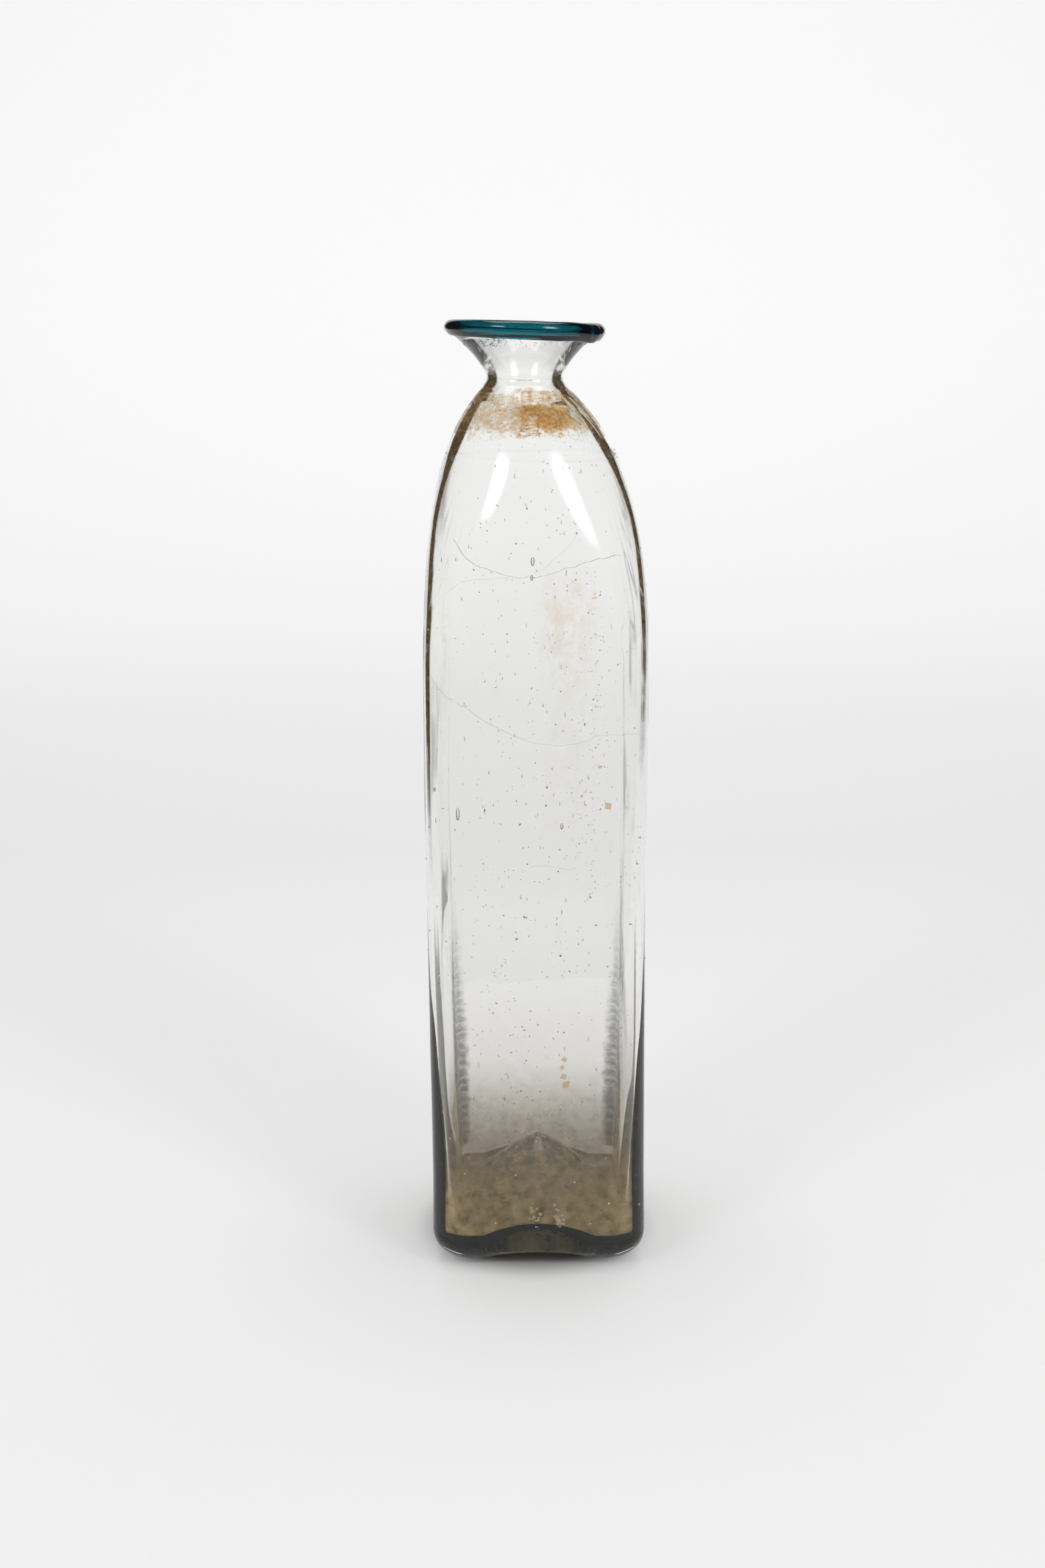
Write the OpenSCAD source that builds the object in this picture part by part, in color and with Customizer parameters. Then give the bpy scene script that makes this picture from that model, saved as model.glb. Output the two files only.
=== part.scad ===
// Square blown glass bottle with rounded shoulders, a short neck and a flared mouth,
// a coloured glass thread laid around the lip, and old residues on the shoulder and floor.
// +Z up. Origin on the axis of the square body, level with the four feet. Front is -Y.
// Sizes are in millimetres.

/* [Body] */
// Height from the feet to the top of the lip thread
height = 250; // [242:1:258]
// Outside width of the square body, left to right
body_w = 57.4; // [54:0.2:60]
// Outside depth of the square body, front to back
body_d = 57.4; // [54:0.2:60]
// Outside radius of the four upright edges
edge_r = 6.5; // [5:0.5:9]
// Radius of the heel, where the walls turn under
heel_r = 10; // [8:0.5:12]
// How far the bottom edge arches up between two feet
arch_h = 2.3; // [1.5:0.1:3.5]
// Height of the pushed up base, underneath
kick_h = 24; // [18:1:27]

/* [Walls] */
// Wall thickness of the upper body and shoulder
wall_top = 1.5; // [1.2:0.1:2]
// Extra wall thickness just above the floor
wall_extra = 2.6; // [1.5:0.1:3.2]
// Height over which the extra wall thickness fades
wall_fade = 28; // [20:1:40]
// Inside radius of the four upright edges
inner_edge_r = 6; // [4:0.5:8]
// Inside radius between wall and floor
inner_heel_r = 4.5; // [3.5:0.5:6]
// Glass thickness of the floor at its corners
floor_t = 6; // [5:0.5:8]
// Extra rise of the inside floor along the middle of each side
floor_arch = 4.5; // [3:0.5:6]
// Glass thickness at the tip of the pushed up base
kick_t = 3; // [2:0.5:4]

/* [Shoulder] */
// Height below the neck root where the body starts to narrow
shoulder_h = 133; // [125:1:140]
// Fullness of the shoulder curve
shoulder_power = 7.3; // [6:0.1:9]
// Sideways lean of the neck against the body axis
neck_lean = 2.9; // [0:0.1:4]

/* [Neck and mouth] */
// Outside diameter of the neck at its narrowest
neck_d = 19.5; // [18.6:0.1:21]
// Diameter of the straight bore
bore_d = 14.8; // [13:0.1:15.2]
// Length of the straight bore
bore_len = 6.5; // [6:0.1:7.5]
// Height of the flare from the narrowest point to the lip
flare_h = 12; // [11:0.5:13]
// Outside diameter of the lip
lip_d = 39; // [37:0.2:41]
// How strongly the flare opens towards the lip
flare_power = 1.8; // [1.5:0.1:2.2]
// Width of the rounded lip, inside to outside
lip_t = 3.2; // [2.6:0.1:4]

/* [Lip thread] */
// Mean height of the thread
thread_h = 3.7; // [3.3:0.1:4.2]
// Variation of the thread height around the lip
thread_vary = 1.2; // [0:0.1:1.4]
// Width of the thread, inside to outside
thread_t = 4; // [3.4:0.1:4.6]
// Drop of the thread from the left to the right of the lip
thread_drop = 1; // [0:0.1:1.2]
// Swelling where the end of the thread overlaps its start
thread_lump = 0.5; // [0:0.1:0.8]

/* [Residues] */
// Thickness of the brown film on the shoulder
film_t = 0.3; // [0.2:0.05:0.5]
// Thickness of the pale flakes on the film
flake_t = 0.3; // [0.2:0.05:0.5]
// Thickness of the dried crust on the floor
crust_t = 0.5; // [0.3:0.05:0.8]
// Outside diameter of the ring shaped pontil scar
scar_d = 12; // [9:0.5:14]
// Width of the ring of the pontil scar
scar_ring = 2; // [1.5:0.1:2.5]
// How far the pontil scar stands out of the pushed up base
scar_h = 0.8; // [0.6:0.1:1.4]

/* [Hidden] */

full_turn = 360;

// points around the body, closer together at the upright edges
around = 48;
crowding = 9;
function turn_angle(i) = let (u = i * full_turn / around) u + crowding * sin(4 * u);

// heights along the axis
lip_under = 0.7 * thread_h;
lip_z = height - lip_under;
neck_z = lip_z - flare_h;
root_drop = 0.117 * flare_h;
root_z = neck_z - root_drop;
shoulder_z = root_z - shoulder_h;
bore_top = neck_z + 0.43 * bore_len;
bore_bottom = bore_top - bore_len;

// half widths
half_w = body_w / 2;
half_d = body_d / 2;
neck_r = neck_d / 2;
bore_r = bore_d / 2;
lip_r = lip_d / 2;
root_r = neck_r + 0.2;

function clamp01(t) = min(1, max(0, t));
function smooth(t) = let (c = clamp01(t)) c * c * (3 - 2 * c);
function mod4(a) = abs((a + 405) % 90 - 45);

// share of the way from the square body to the round neck
round_from = root_z - 0.52 * shoulder_h;
round_to = root_z - 0.09 * shoulder_h;
function roundness(z) = smooth((z - round_from) / (round_to - round_from));

// outside half width at a height above the heel, and its slope
function narrowing(z) = pow(clamp01((z - shoulder_z) / shoulder_h), shoulder_power);
function half_at(z) = half_w - (half_w - root_r) * narrowing(z);
function slope_at(z) =
    let (t = clamp01((z - shoulder_z) / shoulder_h))
    -(half_w - root_r) * shoulder_power * pow(t, shoulder_power - 1) / shoulder_h;

// sideways lean of the section at a height
lean_span = 0.436 * shoulder_h;
function lean_at(z) = -neck_lean * pow(clamp01((z - root_z + lean_span) / lean_span), 2);

// depth of the section against its width
function depth_ratio(z) = 1 + (half_d / half_w - 1) * (1 - roundness(z));

// distance from the axis to a square of half width w with edges rounded to r
function square_radius(a, w, r) =
    let (d = mod4(a), m = max(0, w - r))
    w * tan(d) <= m
        ? w / cos(d)
        : sqrt(2) * m * cos(45 - d) + sqrt(r * r - pow(sqrt(2) * m * sin(45 - d), 2));

// one closed ring of points; lift raises the middle of each side
foot_share = 0.62;
function side_rise(a) = max(0, 1 - pow(tan(mod4(a)) / foot_share, 2));
function ring(w, z, r, lift, lean, ratio) = [
    for (i = [0 : around - 1])
        let (a = turn_angle(i), rad = square_radius(a, w, min(r, w)))
        [lean + rad * cos(a), ratio * rad * sin(a), z + lift * side_rise(a)]
];

// skin of a closed body from a stack of rings, with a point at each end
function stack_points(rings, first, last) = concat([first], [for (k = rings) each k], [last]);
function stack_faces(n) = concat(
    [for (i = [0 : around - 1]) [0, 1 + i, 1 + (i + 1) % around]],
    [
        for (k = [0 : n - 2], i = [0 : around - 1])
            let (p = 1 + k * around + i, q = 1 + k * around + (i + 1) % around)
            each [[p, q + around, q], [p, p + around, q + around]]
    ],
    [
        for (i = [0 : around - 1])
            let (base = 1 + (n - 1) * around)
            [base + (i + 1) % around, base + i, 1 + n * around]
    ]
);

// outside of the glass, from the tip of the kick out, around the heel and up to the root of the neck
kick_steps = 8;
foot_w = 2;
kick_w = half_w - heel_r - foot_w;
kick_power = 1.6;
heel_steps = 6;
shoulder_steps = 17;
curve_start = 0.3 * shoulder_h;
straight_z = [heel_r * 2.4, shoulder_z * 1.04];
function kick_rise(s) = kick_h * (1 - pow(s, kick_power));
function body_ratio() = half_d / half_w;
function shoulder_level(k) =
    let (t = k / shoulder_steps)
    shoulder_z + curve_start + (shoulder_h - curve_start) * (1 - pow(1 - t, 1.9));
kick_rings = [
    for (k = [1 : kick_steps])
        let (s = k / kick_steps, w = kick_w * s)
        ring(w, kick_rise(s), max(edge_r, w * (1 - s * s * 0.7)), arch_h * s * s, 0,
            1 + (body_ratio() - 1) * s)
];
heel_rings = [
    for (k = [0 : heel_steps])
        let (b = 90 * k / heel_steps, w = half_w - heel_r * (1 - sin(b)), z = heel_r * (1 - cos(b)))
        ring(w, z, edge_r * (0.8 + 0.2 * sin(b)), arch_h * cos(b) * cos(b), 0, body_ratio())
];
wall_rings = [for (z = straight_z) ring(half_w, z, edge_r, 0, 0, body_ratio())];
function shoulder_ring(z, off) =
    let (s = slope_at(z), n = sqrt(1 + s * s), w = half_at(z) + off / n)
    ring(w, z - off * s / n, edge_r + (w - edge_r) * roundness(z), 0, lean_at(z), depth_ratio(z));
shoulder_rings = [for (k = [0 : shoulder_steps]) shoulder_ring(shoulder_level(k), 0)];
outer_rings = concat(kick_rings, heel_rings, wall_rings, shoulder_rings);

module outer_skin() {
    polyhedron(
        stack_points(outer_rings, [0, 0, kick_h], [-neck_lean, 0, root_z + 1]),
        stack_faces(len(outer_rings)),
        convexity = 6
    );
}

// inside of the glass, from the tip of the kick out, around the floor and up under the neck
wall_low = wall_top + wall_extra;
floor_w = half_w - wall_low - inner_heel_r;
inner_kick_z = kick_h + kick_t;
inner_kick_steps = 8;
inner_heel_steps = 4;
inner_shoulder_steps = 15;
function wall_at(z) = wall_top + wall_extra * exp(-max(0, z - floor_t - inner_heel_r) / wall_fade);
function inner_ratio(w) = (half_d - half_w + w) / w;
inner_kick_rings = [
    for (k = [1 : inner_kick_steps])
        let (s = k / inner_kick_steps, w = floor_w * s)
        ring(w, floor_t + (inner_kick_z - floor_t) * (1 - pow(s, 1.5)),
            max(inner_edge_r * 0.6, w * (1 - s * s * 0.75)), floor_arch * s * s, 0,
            1 + (inner_ratio(floor_w) - 1) * s)
];
inner_heel_rings = [
    for (k = [1 : inner_heel_steps])
        let (b = 90 * k / inner_heel_steps, w = floor_w + inner_heel_r * sin(b))
        ring(w, floor_t + inner_heel_r * (1 - cos(b)), inner_edge_r * (0.6 + 0.4 * sin(b)),
            floor_arch * cos(b / 2), 0, inner_ratio(w))
];
low_rise = 0.64 * wall_fade;
inner_wall_z = [
    for (share = [1, 1.8, 2.9, 4.4])
        floor_t + low_rise * share
];
inner_wall_rings = [
    for (z = inner_wall_z)
        let (w = half_w - wall_at(z))
        ring(w, z, inner_edge_r, z < floor_t + 1.2 * low_rise ? floor_arch * 0.3 : 0, 0, inner_ratio(w))
];
inner_top = bore_bottom + 0.4;
function inner_level(k) =
    let (t = k / inner_shoulder_steps)
    shoulder_z + curve_start + (inner_top - shoulder_z - curve_start) * (1 - pow(1 - t, 1.6));
inner_shoulder_rings = [
    for (k = [0 : inner_shoulder_steps])
        let (
            z = inner_level(k),
            s = slope_at(z),
            n = sqrt(1 + s * s),
            w = half_at(z) - wall_top / n,
            bend = inner_edge_r + (w - inner_edge_r) * roundness(z)
        )
        ring(w, z + wall_top * s / n, bend, 0, lean_at(z), 1 + (inner_ratio(w) - 1) * (1 - roundness(z)))
];
inner_rings = concat(inner_kick_rings, inner_heel_rings, inner_wall_rings, inner_shoulder_rings);

module inner_skin() {
    polyhedron(
        stack_points(inner_rings, [0, 0, inner_kick_z], [-neck_lean, 0, bore_bottom + 1.4]),
        stack_faces(len(inner_rings)),
        convexity = 6
    );
}

// neck, flare and lip, turned about the leaning axis of the neck
flare_steps = 8;
lip_steps = 4;
function flare_r(t) = neck_r + (lip_r - neck_r) * pow(t, flare_power);
function mouth_r(t) = bore_r + (lip_r - lip_t - bore_r) * pow(t, 1.5);
flare_top = lip_z - lip_t / 2;
flare_outside = [
    for (k = [0 : flare_steps])
        let (t = k / flare_steps)
        [flare_r(t), neck_z + (flare_top - neck_z) * t]
];
lip_bead = [
    for (k = [1 : lip_steps - 1])
        let (b = 180 * k / lip_steps)
        [lip_r - lip_t / 2 * (1 - cos(b)), flare_top + lip_t / 2 * sin(b)]
];
flare_inside = [
    for (k = [flare_steps : -1 : 0])
        let (t = k / flare_steps)
        [mouth_r(t), bore_top + (flare_top - bore_top) * t]
];
root_sink = 3.2;
neck_profile = concat(
    [[0, root_z - root_sink], [root_r + 1.6, root_z - root_sink], [root_r + 0.5, root_z - 0.5],
        [neck_r, root_z + 0.6]],
    flare_outside,
    lip_bead,
    [[0, flare_top]]
);
mouth_profile = concat(
    [[0, bore_bottom], [bore_r, bore_bottom]],
    [for (k = [len(flare_inside) - 1 : -1 : 0]) flare_inside[k]],
    [[lip_r - lip_t, lip_z + 1], [0, lip_z + 1]]
);

module turned(profile) {
    translate([-neck_lean, 0, 0])
        rotate_extrude($fn = 96)
            polygon(profile);
}

module vessel() {
    color([0.86, 0.89, 0.87, 0.4])
        difference() {
            union() {
                outer_skin();
                turned(neck_profile);
            }
            inner_skin();
            turned(mouth_profile);
        }
}

// glass thread around the lip: a ring of varying height, cut to sit on the lip
thread_steps = 60;
thread_sides = 12;
thread_high_at = -60;
lump_at = -27;
lump_span = 12;
function lump(a) = thread_lump * exp(-pow((((a - lump_at + 540) % 360) - 180) / lump_span, 2));
function thread_height(a) = thread_h + thread_vary * cos(a - thread_high_at);
function thread_point(a, b) =
    let (
        h = thread_height(a),
        top = height - thread_drop * (1 + cos(a)) / 2,
        r = lip_r + 0.3 * thread_t - thread_t / 2 + (thread_t / 2 + lump(a)) * cos(b),
        z = top - h / 2 + h / 2 * sin(b)
    )
    [r * cos(a) - neck_lean, r * sin(a), z];
thread_points = [
    for (i = [0 : thread_steps - 1], j = [0 : thread_sides - 1])
        thread_point(full_turn * i / thread_steps, full_turn * j / thread_sides)
];
thread_faces = [
    for (i = [0 : thread_steps - 1], j = [0 : thread_sides - 1])
        let (
            i2 = (i + 1) % thread_steps,
            j2 = (j + 1) % thread_sides,
            p = i * thread_sides + j,
            q = i2 * thread_sides + j,
            r = i2 * thread_sides + j2,
            s = i * thread_sides + j2
        )
        each [[p, r, q], [p, s, r]]
];

module rim_thread() {
    color([0.03, 0.28, 0.3])
        difference() {
            polyhedron(thread_points, thread_faces, convexity = 6);
            turned(neck_profile);
        }
}

// rough ring of glass left by the pontil rod, under the tip of the kick
scar_r = scar_d / 2;
scar_z = kick_rise(scar_r / kick_w) - scar_h;
module pontil_scar() {
    color([0.7, 0.75, 0.72])
        difference() {
            translate([0, 0, scar_z])
                cylinder(d = scar_d, h = kick_h - scar_z, $fn = 48);
            translate([0, 0, scar_z - 1])
                cylinder(r = scar_r - scar_ring, h = kick_h - scar_z + 2, $fn = 48);
            outer_skin();
        }
}

// thin layer on part of a grid of rings, between two offsets from the glass
function sheet_points(low, high, i0, i1) = concat(
    [for (k = low) each [for (i = [i0 : i1]) k[i % around]]],
    [for (k = high) each [for (i = [i0 : i1]) k[i % around]]]
);
function sheet_faces(rows, cols) =
    let (n = rows * cols)
    concat(
        [
            for (k = [0 : rows - 2], i = [0 : cols - 2])
                let (p = k * cols + i)
                each [
                    [p, p + 1, p + cols + 1], [p, p + cols + 1, p + cols],
                    [n + p, n + p + cols + 1, n + p + 1], [n + p, n + p + cols, n + p + cols + 1]
                ]
        ],
        [
            for (i = [0 : cols - 2])
                let (p = i, q = (rows - 1) * cols + i)
                each [
                    [p, n + p + 1, p + 1], [p, n + p, n + p + 1],
                    [q, q + 1, n + q + 1], [q, n + q + 1, n + q]
                ]
        ],
        [
            for (k = [0 : rows - 2])
                let (p = k * cols, q = k * cols + cols - 1)
                each [
                    [p, n + p + cols, n + p], [p, p + cols, n + p + cols],
                    [q, n + q, n + q + cols], [q, n + q + cols, q + cols]
                ]
        ]
    );

// the film covers these rings of the shoulder, and these points around it
film_from = 10;
film_to = 16;
film_first = 21;
film_last = 51;
function film_ring(k, off) = shoulder_ring(shoulder_level(k), off);
module shoulder_film() {
    low = [for (k = [film_from : film_to]) film_ring(k, 0)];
    high = [for (k = [film_from : film_to]) film_ring(k, film_t)];
    color([0.5, 0.38, 0.22])
        polyhedron(
            sheet_points(low, high, film_first, film_last),
            sheet_faces(len(low), film_last - film_first + 1),
            convexity = 4
        );
}

// the flakes lie on the film, at the front right
flakes_from = 12;
flakes_to = 14;
flakes_first = 38;
flakes_last = 43;
module label_flakes() {
    low = [for (k = [flakes_from : flakes_to]) film_ring(k, film_t)];
    high = [for (k = [flakes_from : flakes_to]) film_ring(k, film_t + flake_t)];
    color([0.72, 0.74, 0.68])
        polyhedron(
            sheet_points(low, high, flakes_first, flakes_last),
            sheet_faces(len(low), flakes_last - flakes_first + 1),
            convexity = 4
        );
}

// dried crust lying on the floor around the kick
module floor_crust() {
    low = [for (k = [3 : 7]) inner_kick_rings[k]];
    high = [for (k = low) [for (p = k) p + [0, 0, crust_t]]];
    n = len(low) * around;
    pts = concat([for (k = low) each k], [for (k = high) each k]);
    last = len(low) - 1;
    faces = concat(
        [
            for (k = [0 : last - 1], i = [0 : around - 1])
                let (p = k * around + i, q = k * around + (i + 1) % around)
                each [
                    [p, q + around, q], [p, p + around, q + around],
                    [n + p, n + q, n + q + around], [n + p, n + q + around, n + p + around]
                ]
        ],
        [
            for (i = [0 : around - 1])
                let (p = i, q = (i + 1) % around, s = last * around + i, t = last * around + (i + 1) % around)
                each [[p, q, n + q], [p, n + q, n + p], [s, n + t, t], [s, n + s, n + t]]
        ]
    );
    color([0.45, 0.36, 0.2])
        polyhedron(pts, faces, convexity = 6);
}

vessel();
rim_thread();
pontil_scar();
shoulder_film();
label_flakes();
floor_crust();
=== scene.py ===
"""Looks of the square glass bottle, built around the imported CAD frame.

Shapes are worked out in millimetres in the CAD frame and turned into metres when a mesh is made.
Angles run anticlockwise from +X seen from above, so the front (-Y) is at -90 degrees.
"""

import math

import bpy
import numpy as np
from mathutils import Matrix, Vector


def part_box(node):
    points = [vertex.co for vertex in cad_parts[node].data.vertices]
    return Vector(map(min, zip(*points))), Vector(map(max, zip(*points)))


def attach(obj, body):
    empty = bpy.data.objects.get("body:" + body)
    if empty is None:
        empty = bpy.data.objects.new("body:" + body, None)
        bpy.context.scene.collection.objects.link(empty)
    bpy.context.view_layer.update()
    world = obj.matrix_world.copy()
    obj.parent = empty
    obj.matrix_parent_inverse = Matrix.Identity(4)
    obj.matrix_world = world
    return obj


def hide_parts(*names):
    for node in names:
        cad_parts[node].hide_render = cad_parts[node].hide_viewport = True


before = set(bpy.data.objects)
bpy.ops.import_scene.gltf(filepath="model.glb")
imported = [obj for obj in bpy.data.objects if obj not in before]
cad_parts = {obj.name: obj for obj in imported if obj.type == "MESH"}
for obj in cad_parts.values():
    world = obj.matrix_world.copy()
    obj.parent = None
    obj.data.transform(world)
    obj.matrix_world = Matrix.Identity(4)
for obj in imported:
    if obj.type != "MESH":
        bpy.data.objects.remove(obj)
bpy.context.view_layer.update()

MM = 0.001

# ---------------- sizes of the bottle, in mm
# _R is a radius, _H a height, _T a thickness, _W a half width and _Z a level above the feet
low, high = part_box("vessel")
HALF_W = (high.x - low.x) / 2 / MM
LIP_Z = high.z / MM
# the thread stands above the lip of the glass
HEIGHT = LIP_Z + 2.6
EDGE_R, HEEL_R, ARCH_H = 6.5, 10.0, 2.3
# half span of the arch between two feet as a share of the half width, and depth of the waist
ARCH_SPAN, WAIST = 0.62, 0.25
KICK_H, KICK_T, FLOOR_T, FLOOR_ARCH = 24.0, 3.0, 6.0, 4.5
WALL_TOP, WALL_EXTRA, WALL_FADE = 1.5, 2.6, 28.0
INNER_EDGE_R, INNER_HEEL_R = 6.0, 4.5
NECK_R, BORE_R, LIP_R, LIP_T = 9.75, 7.4, 19.5, 3.2
FLARE_H, FLARE_POWER = 12.0, 1.5
NECK_LEAN, LEAN_FROM = 2.9, 58.0
AXIS_X = -NECK_LEAN
# the foot stands a little to the right of the middle of the body
FOOT_SHIFT = 1.0
KICK_W = HALF_W - HEEL_R - 2
FLOOR_W = HALF_W - WALL_TOP - WALL_EXTRA - INNER_HEEL_R
NECK_Z = LIP_Z - FLARE_H
ROOT_Z = NECK_Z - 1.4
ROOT_R = NECK_R + 0.2
SHOULDER_H, SHOULDER_POWER = 133.0, 7.3
SHOULDER_Z = ROOT_Z - SHOULDER_H
# the bore, the inside end of its fillet, the rounded lip and where the body turns from square to round
BORE_TOP = NECK_Z + 0.8
BORE_BOTTOM = NECK_Z - 2.2
UNDER_BORE = BORE_BOTTOM - 3.8
FLARE_TOP = LIP_Z - LIP_T / 2
RIM_R, RIM_Z, RIM_HALF = LIP_R - 1.6, LIP_Z - 0.9, 0.7
MOUTH_R = RIM_R - 2 * RIM_HALF
ROUND_FROM, ROUND_TO = 165.0, ROOT_Z - 12.0


# ---------------- small maths
def smooth(t):
    t = np.clip(t, 0.0, 1.0)
    return t * t * (3 - 2 * t)


def arc(first, last, count):
    """Angles in radians, from one in degrees to another."""
    return np.radians(np.linspace(first, last, count))


def waves(count, shortest, longest, seed):
    """A smooth random field made of sine waves, about -1 to 1, for points in mm."""
    r = np.random.default_rng(seed)
    length = np.exp(r.uniform(math.log(shortest), math.log(longest), count))
    way = r.normal(size=(count, 3))
    way *= (2 * math.pi / length / np.linalg.norm(way, axis=1))[:, None]
    phase = r.uniform(0, 2 * math.pi, count)
    gain = (length / longest) ** 0.7
    gain /= np.sqrt((gain**2).sum() / 2) * 1.6

    def field(p):
        return np.sin(p @ way.T + phase) @ gain

    return field


class ValueNoise:
    """Smooth lattice noise from 0 to 1, for points in mm."""

    def __init__(self, seed):
        r = np.random.default_rng(seed)
        self.mix = r.permutation(1024)
        self.level = r.random(1024)

    def once(self, p):
        cell = np.floor(p).astype(int)
        f = p - cell
        f = f * f * (3 - 2 * f)
        total = 0.0
        for dx in (0, 1):
            for dy in (0, 1):
                for dz in (0, 1):
                    h = self.mix[(cell[..., 0] + dx) % 1024]
                    h = self.mix[(h + cell[..., 1] + dy) % 1024]
                    h = self.level[(h + cell[..., 2] + dz) % 1024]
                    share = np.where(dx, f[..., 0], 1 - f[..., 0]) * np.where(dy, f[..., 1], 1 - f[..., 1])
                    total = total + h * share * np.where(dz, f[..., 2], 1 - f[..., 2])
        return total

    def __call__(self, p, size, octaves=4, stretch=(1, 1, 1)):
        p = np.asarray(p) / (size * np.array(stretch)) + 311.7
        total, gain, norm = 0.0, 1.0, 0.0
        for k in range(octaves):
            total = total + gain * self.once(p * 2.03**k + 17.3 * k)
            norm += gain
            gain *= 0.55
        return total / norm


# ---------------- the glass surface
AROUND = 288
# the points around crowd towards the four upright edges
CROWDING = math.radians(9)
TURN = np.linspace(0, 2 * math.pi, AROUND, endpoint=False)
TURN = TURN + CROWDING * np.sin(4 * TURN)


def from_side(a):
    """Angle from the middle of the nearest side, 0 to 45 degrees, in radians."""
    return np.abs((a + math.pi / 4) % (math.pi / 2) - math.pi / 4)


def square_radius(a, w, r):
    """Distance from the axis, at the angle a, of a square with the half width w and the corner radius r."""
    d = from_side(a)
    m = np.maximum(0, w - r)
    flat = w / np.cos(d)
    far = math.sqrt(2) * m
    off = math.pi / 4 - d
    bend = far * np.cos(off) + np.sqrt(np.maximum(0, r * r - (far * np.sin(off)) ** 2))
    return np.where(w * np.tan(d) <= m, flat, bend)


def side_rise(a):
    """The arch between two feet: 1 at the middle of a side and 0 near its ends."""
    return np.maximum(0, 1 - (np.tan(from_side(a)) / ARCH_SPAN) ** 2)


def roundness(z):
    """0 where the body is square, and 1 where it is round."""
    return smooth((z - ROUND_FROM) / (ROUND_TO - ROUND_FROM))


def half_at(z):
    """Half width of the body at a height, with its slight waist."""
    t = np.clip((z - SHOULDER_Z) / SHOULDER_H, 0, 1)
    waist = WAIST * (1 - smooth((z - 112.0) / 18.0)) * smooth((z - HEEL_R) / 20.0)
    return HALF_W - (HALF_W - ROOT_R) * t**SHOULDER_POWER - waist


def slope_at(z):
    t = np.clip((z - SHOULDER_Z) / SHOULDER_H, 0, 1)
    return -(HALF_W - ROOT_R) * SHOULDER_POWER * t ** (SHOULDER_POWER - 1) / SHOULDER_H


def lean_at(z):
    """How far the middle of the body lies to the right, less than 0 under the leaning neck."""
    return -NECK_LEAN * np.clip((z - ROOT_Z + LEAN_FROM) / LEAN_FROM, 0, 1) ** 2 + body_shift(z)


def body_shift(z):
    """The foot of the body stands a little to the right of its middle."""
    return FOOT_SHIFT * (1 - smooth(z / 130.0))


def wall_at(z):
    return WALL_TOP + WALL_EXTRA * np.exp(-np.maximum(0, z - FLOOR_T - INNER_HEEL_R) / WALL_FADE)


def ring(w, z, r, lift=0.0, lean=0.0, a=TURN):
    rad = square_radius(a, w, min(r, w))
    return np.stack([lean + rad * np.cos(a), rad * np.sin(a), z + lift * side_rise(a)], axis=-1)


def outer_shoulder(z, off=0.0, a=TURN):
    """Ring of the outside wall at a height, moved out of the glass by off."""
    s = slope_at(z)
    n = math.hypot(1, s)
    w = half_at(z) + off / n
    return ring(w, z - off * s / n, EDGE_R + (w - EDGE_R) * roundness(z), 0, lean_at(z), a)


def inner_shoulder(z, off=0.0, a=TURN):
    """Ring of the inside wall at a height, moved into the hollow by off."""
    s = slope_at(z)
    n = math.hypot(1, s)
    wall = wall_at(z) + off
    w = half_at(z) - wall / n
    r = INNER_EDGE_R + (w - INNER_EDGE_R) * roundness(z)
    return ring(w, z + wall * s / n, r, wall_lift(z), lean_at(z), a)


def kick_z(s):
    """Height of the underside from the tip of the kick, s = 0, to the feet, s = 1."""
    return KICK_H * (1 - s**1.6)


def kick_ring(s, a=TURN):
    w = KICK_W * s
    bend = max(EDGE_R, w * (1 - s * s * 0.7))
    return ring(w, kick_z(s), bend, ARCH_H * s * s, FOOT_SHIFT, a)


def heel_ring(b, a=TURN):
    """Ring of the outside heel, b from 0 at the feet to a right angle at the wall."""
    w = HALF_W - HEEL_R * (1 - math.sin(b))
    r = EDGE_R * (0.8 + 0.2 * math.sin(b))
    return ring(w, HEEL_R * (1 - math.cos(b)), r, ARCH_H * math.cos(b) ** 2, FOOT_SHIFT, a)


def floor_ring(s, up=0.0, a=TURN):
    """Ring of the inside floor, s from 0 over the kick to 1 at the inside heel, raised by up."""
    w = FLOOR_W * s
    z = FLOOR_T + (KICK_H + KICK_T - FLOOR_T) * (1 - s**1.5) + up
    bend = max(INNER_EDGE_R * 0.6, w * (1 - s * s * 0.75))
    return ring(w, z, bend, FLOOR_ARCH * s * s, FOOT_SHIFT, a)


def floor_heel_ring(b, a=TURN):
    """Ring of the inside heel, b from 0 at the floor to a right angle at the wall."""
    w = FLOOR_W + INNER_HEEL_R * math.sin(b)
    z = FLOOR_T + INNER_HEEL_R * (1 - math.cos(b))
    bend = INNER_EDGE_R * (0.6 + 0.4 * math.sin(b))
    return ring(w, z, bend, FLOOR_ARCH * math.cos(b / 2), FOOT_SHIFT, a)


def wall_lift(z):
    """The arch of the floor goes on in the foot of the inside wall."""
    return FLOOR_ARCH * 0.7 * (1 - smooth((z - FLOOR_T - INNER_HEEL_R) / 16))


def neck_ring(r, z):
    return ring(r, z, r, 0, -NECK_LEAN)


def bezier(p0, p1, p2, steps):
    t = np.linspace(0, 1, steps)[:, None]
    return (1 - t) ** 2 * np.array(p0) + 2 * t * (1 - t) * np.array(p1) + t * t * np.array(p2)


def bore_fillet():
    """Profile of the inside from the foot of the bore out to the shoulder, as radius and height."""
    start = inner_shoulder(UNDER_BORE)
    end = (start[:, 0].max() - lean_at(UNDER_BORE), start[0, 2])
    return bezier((BORE_R, BORE_BOTTOM + 1.2), (BORE_R + 0.8, BORE_BOTTOM - 0.6), end, 18)


def flare_r(t):
    """Outside radius of the flare, t from 0 at the neck to 1 at the lip."""
    return NECK_R + (RIM_R - NECK_R) * t**FLARE_POWER


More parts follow.
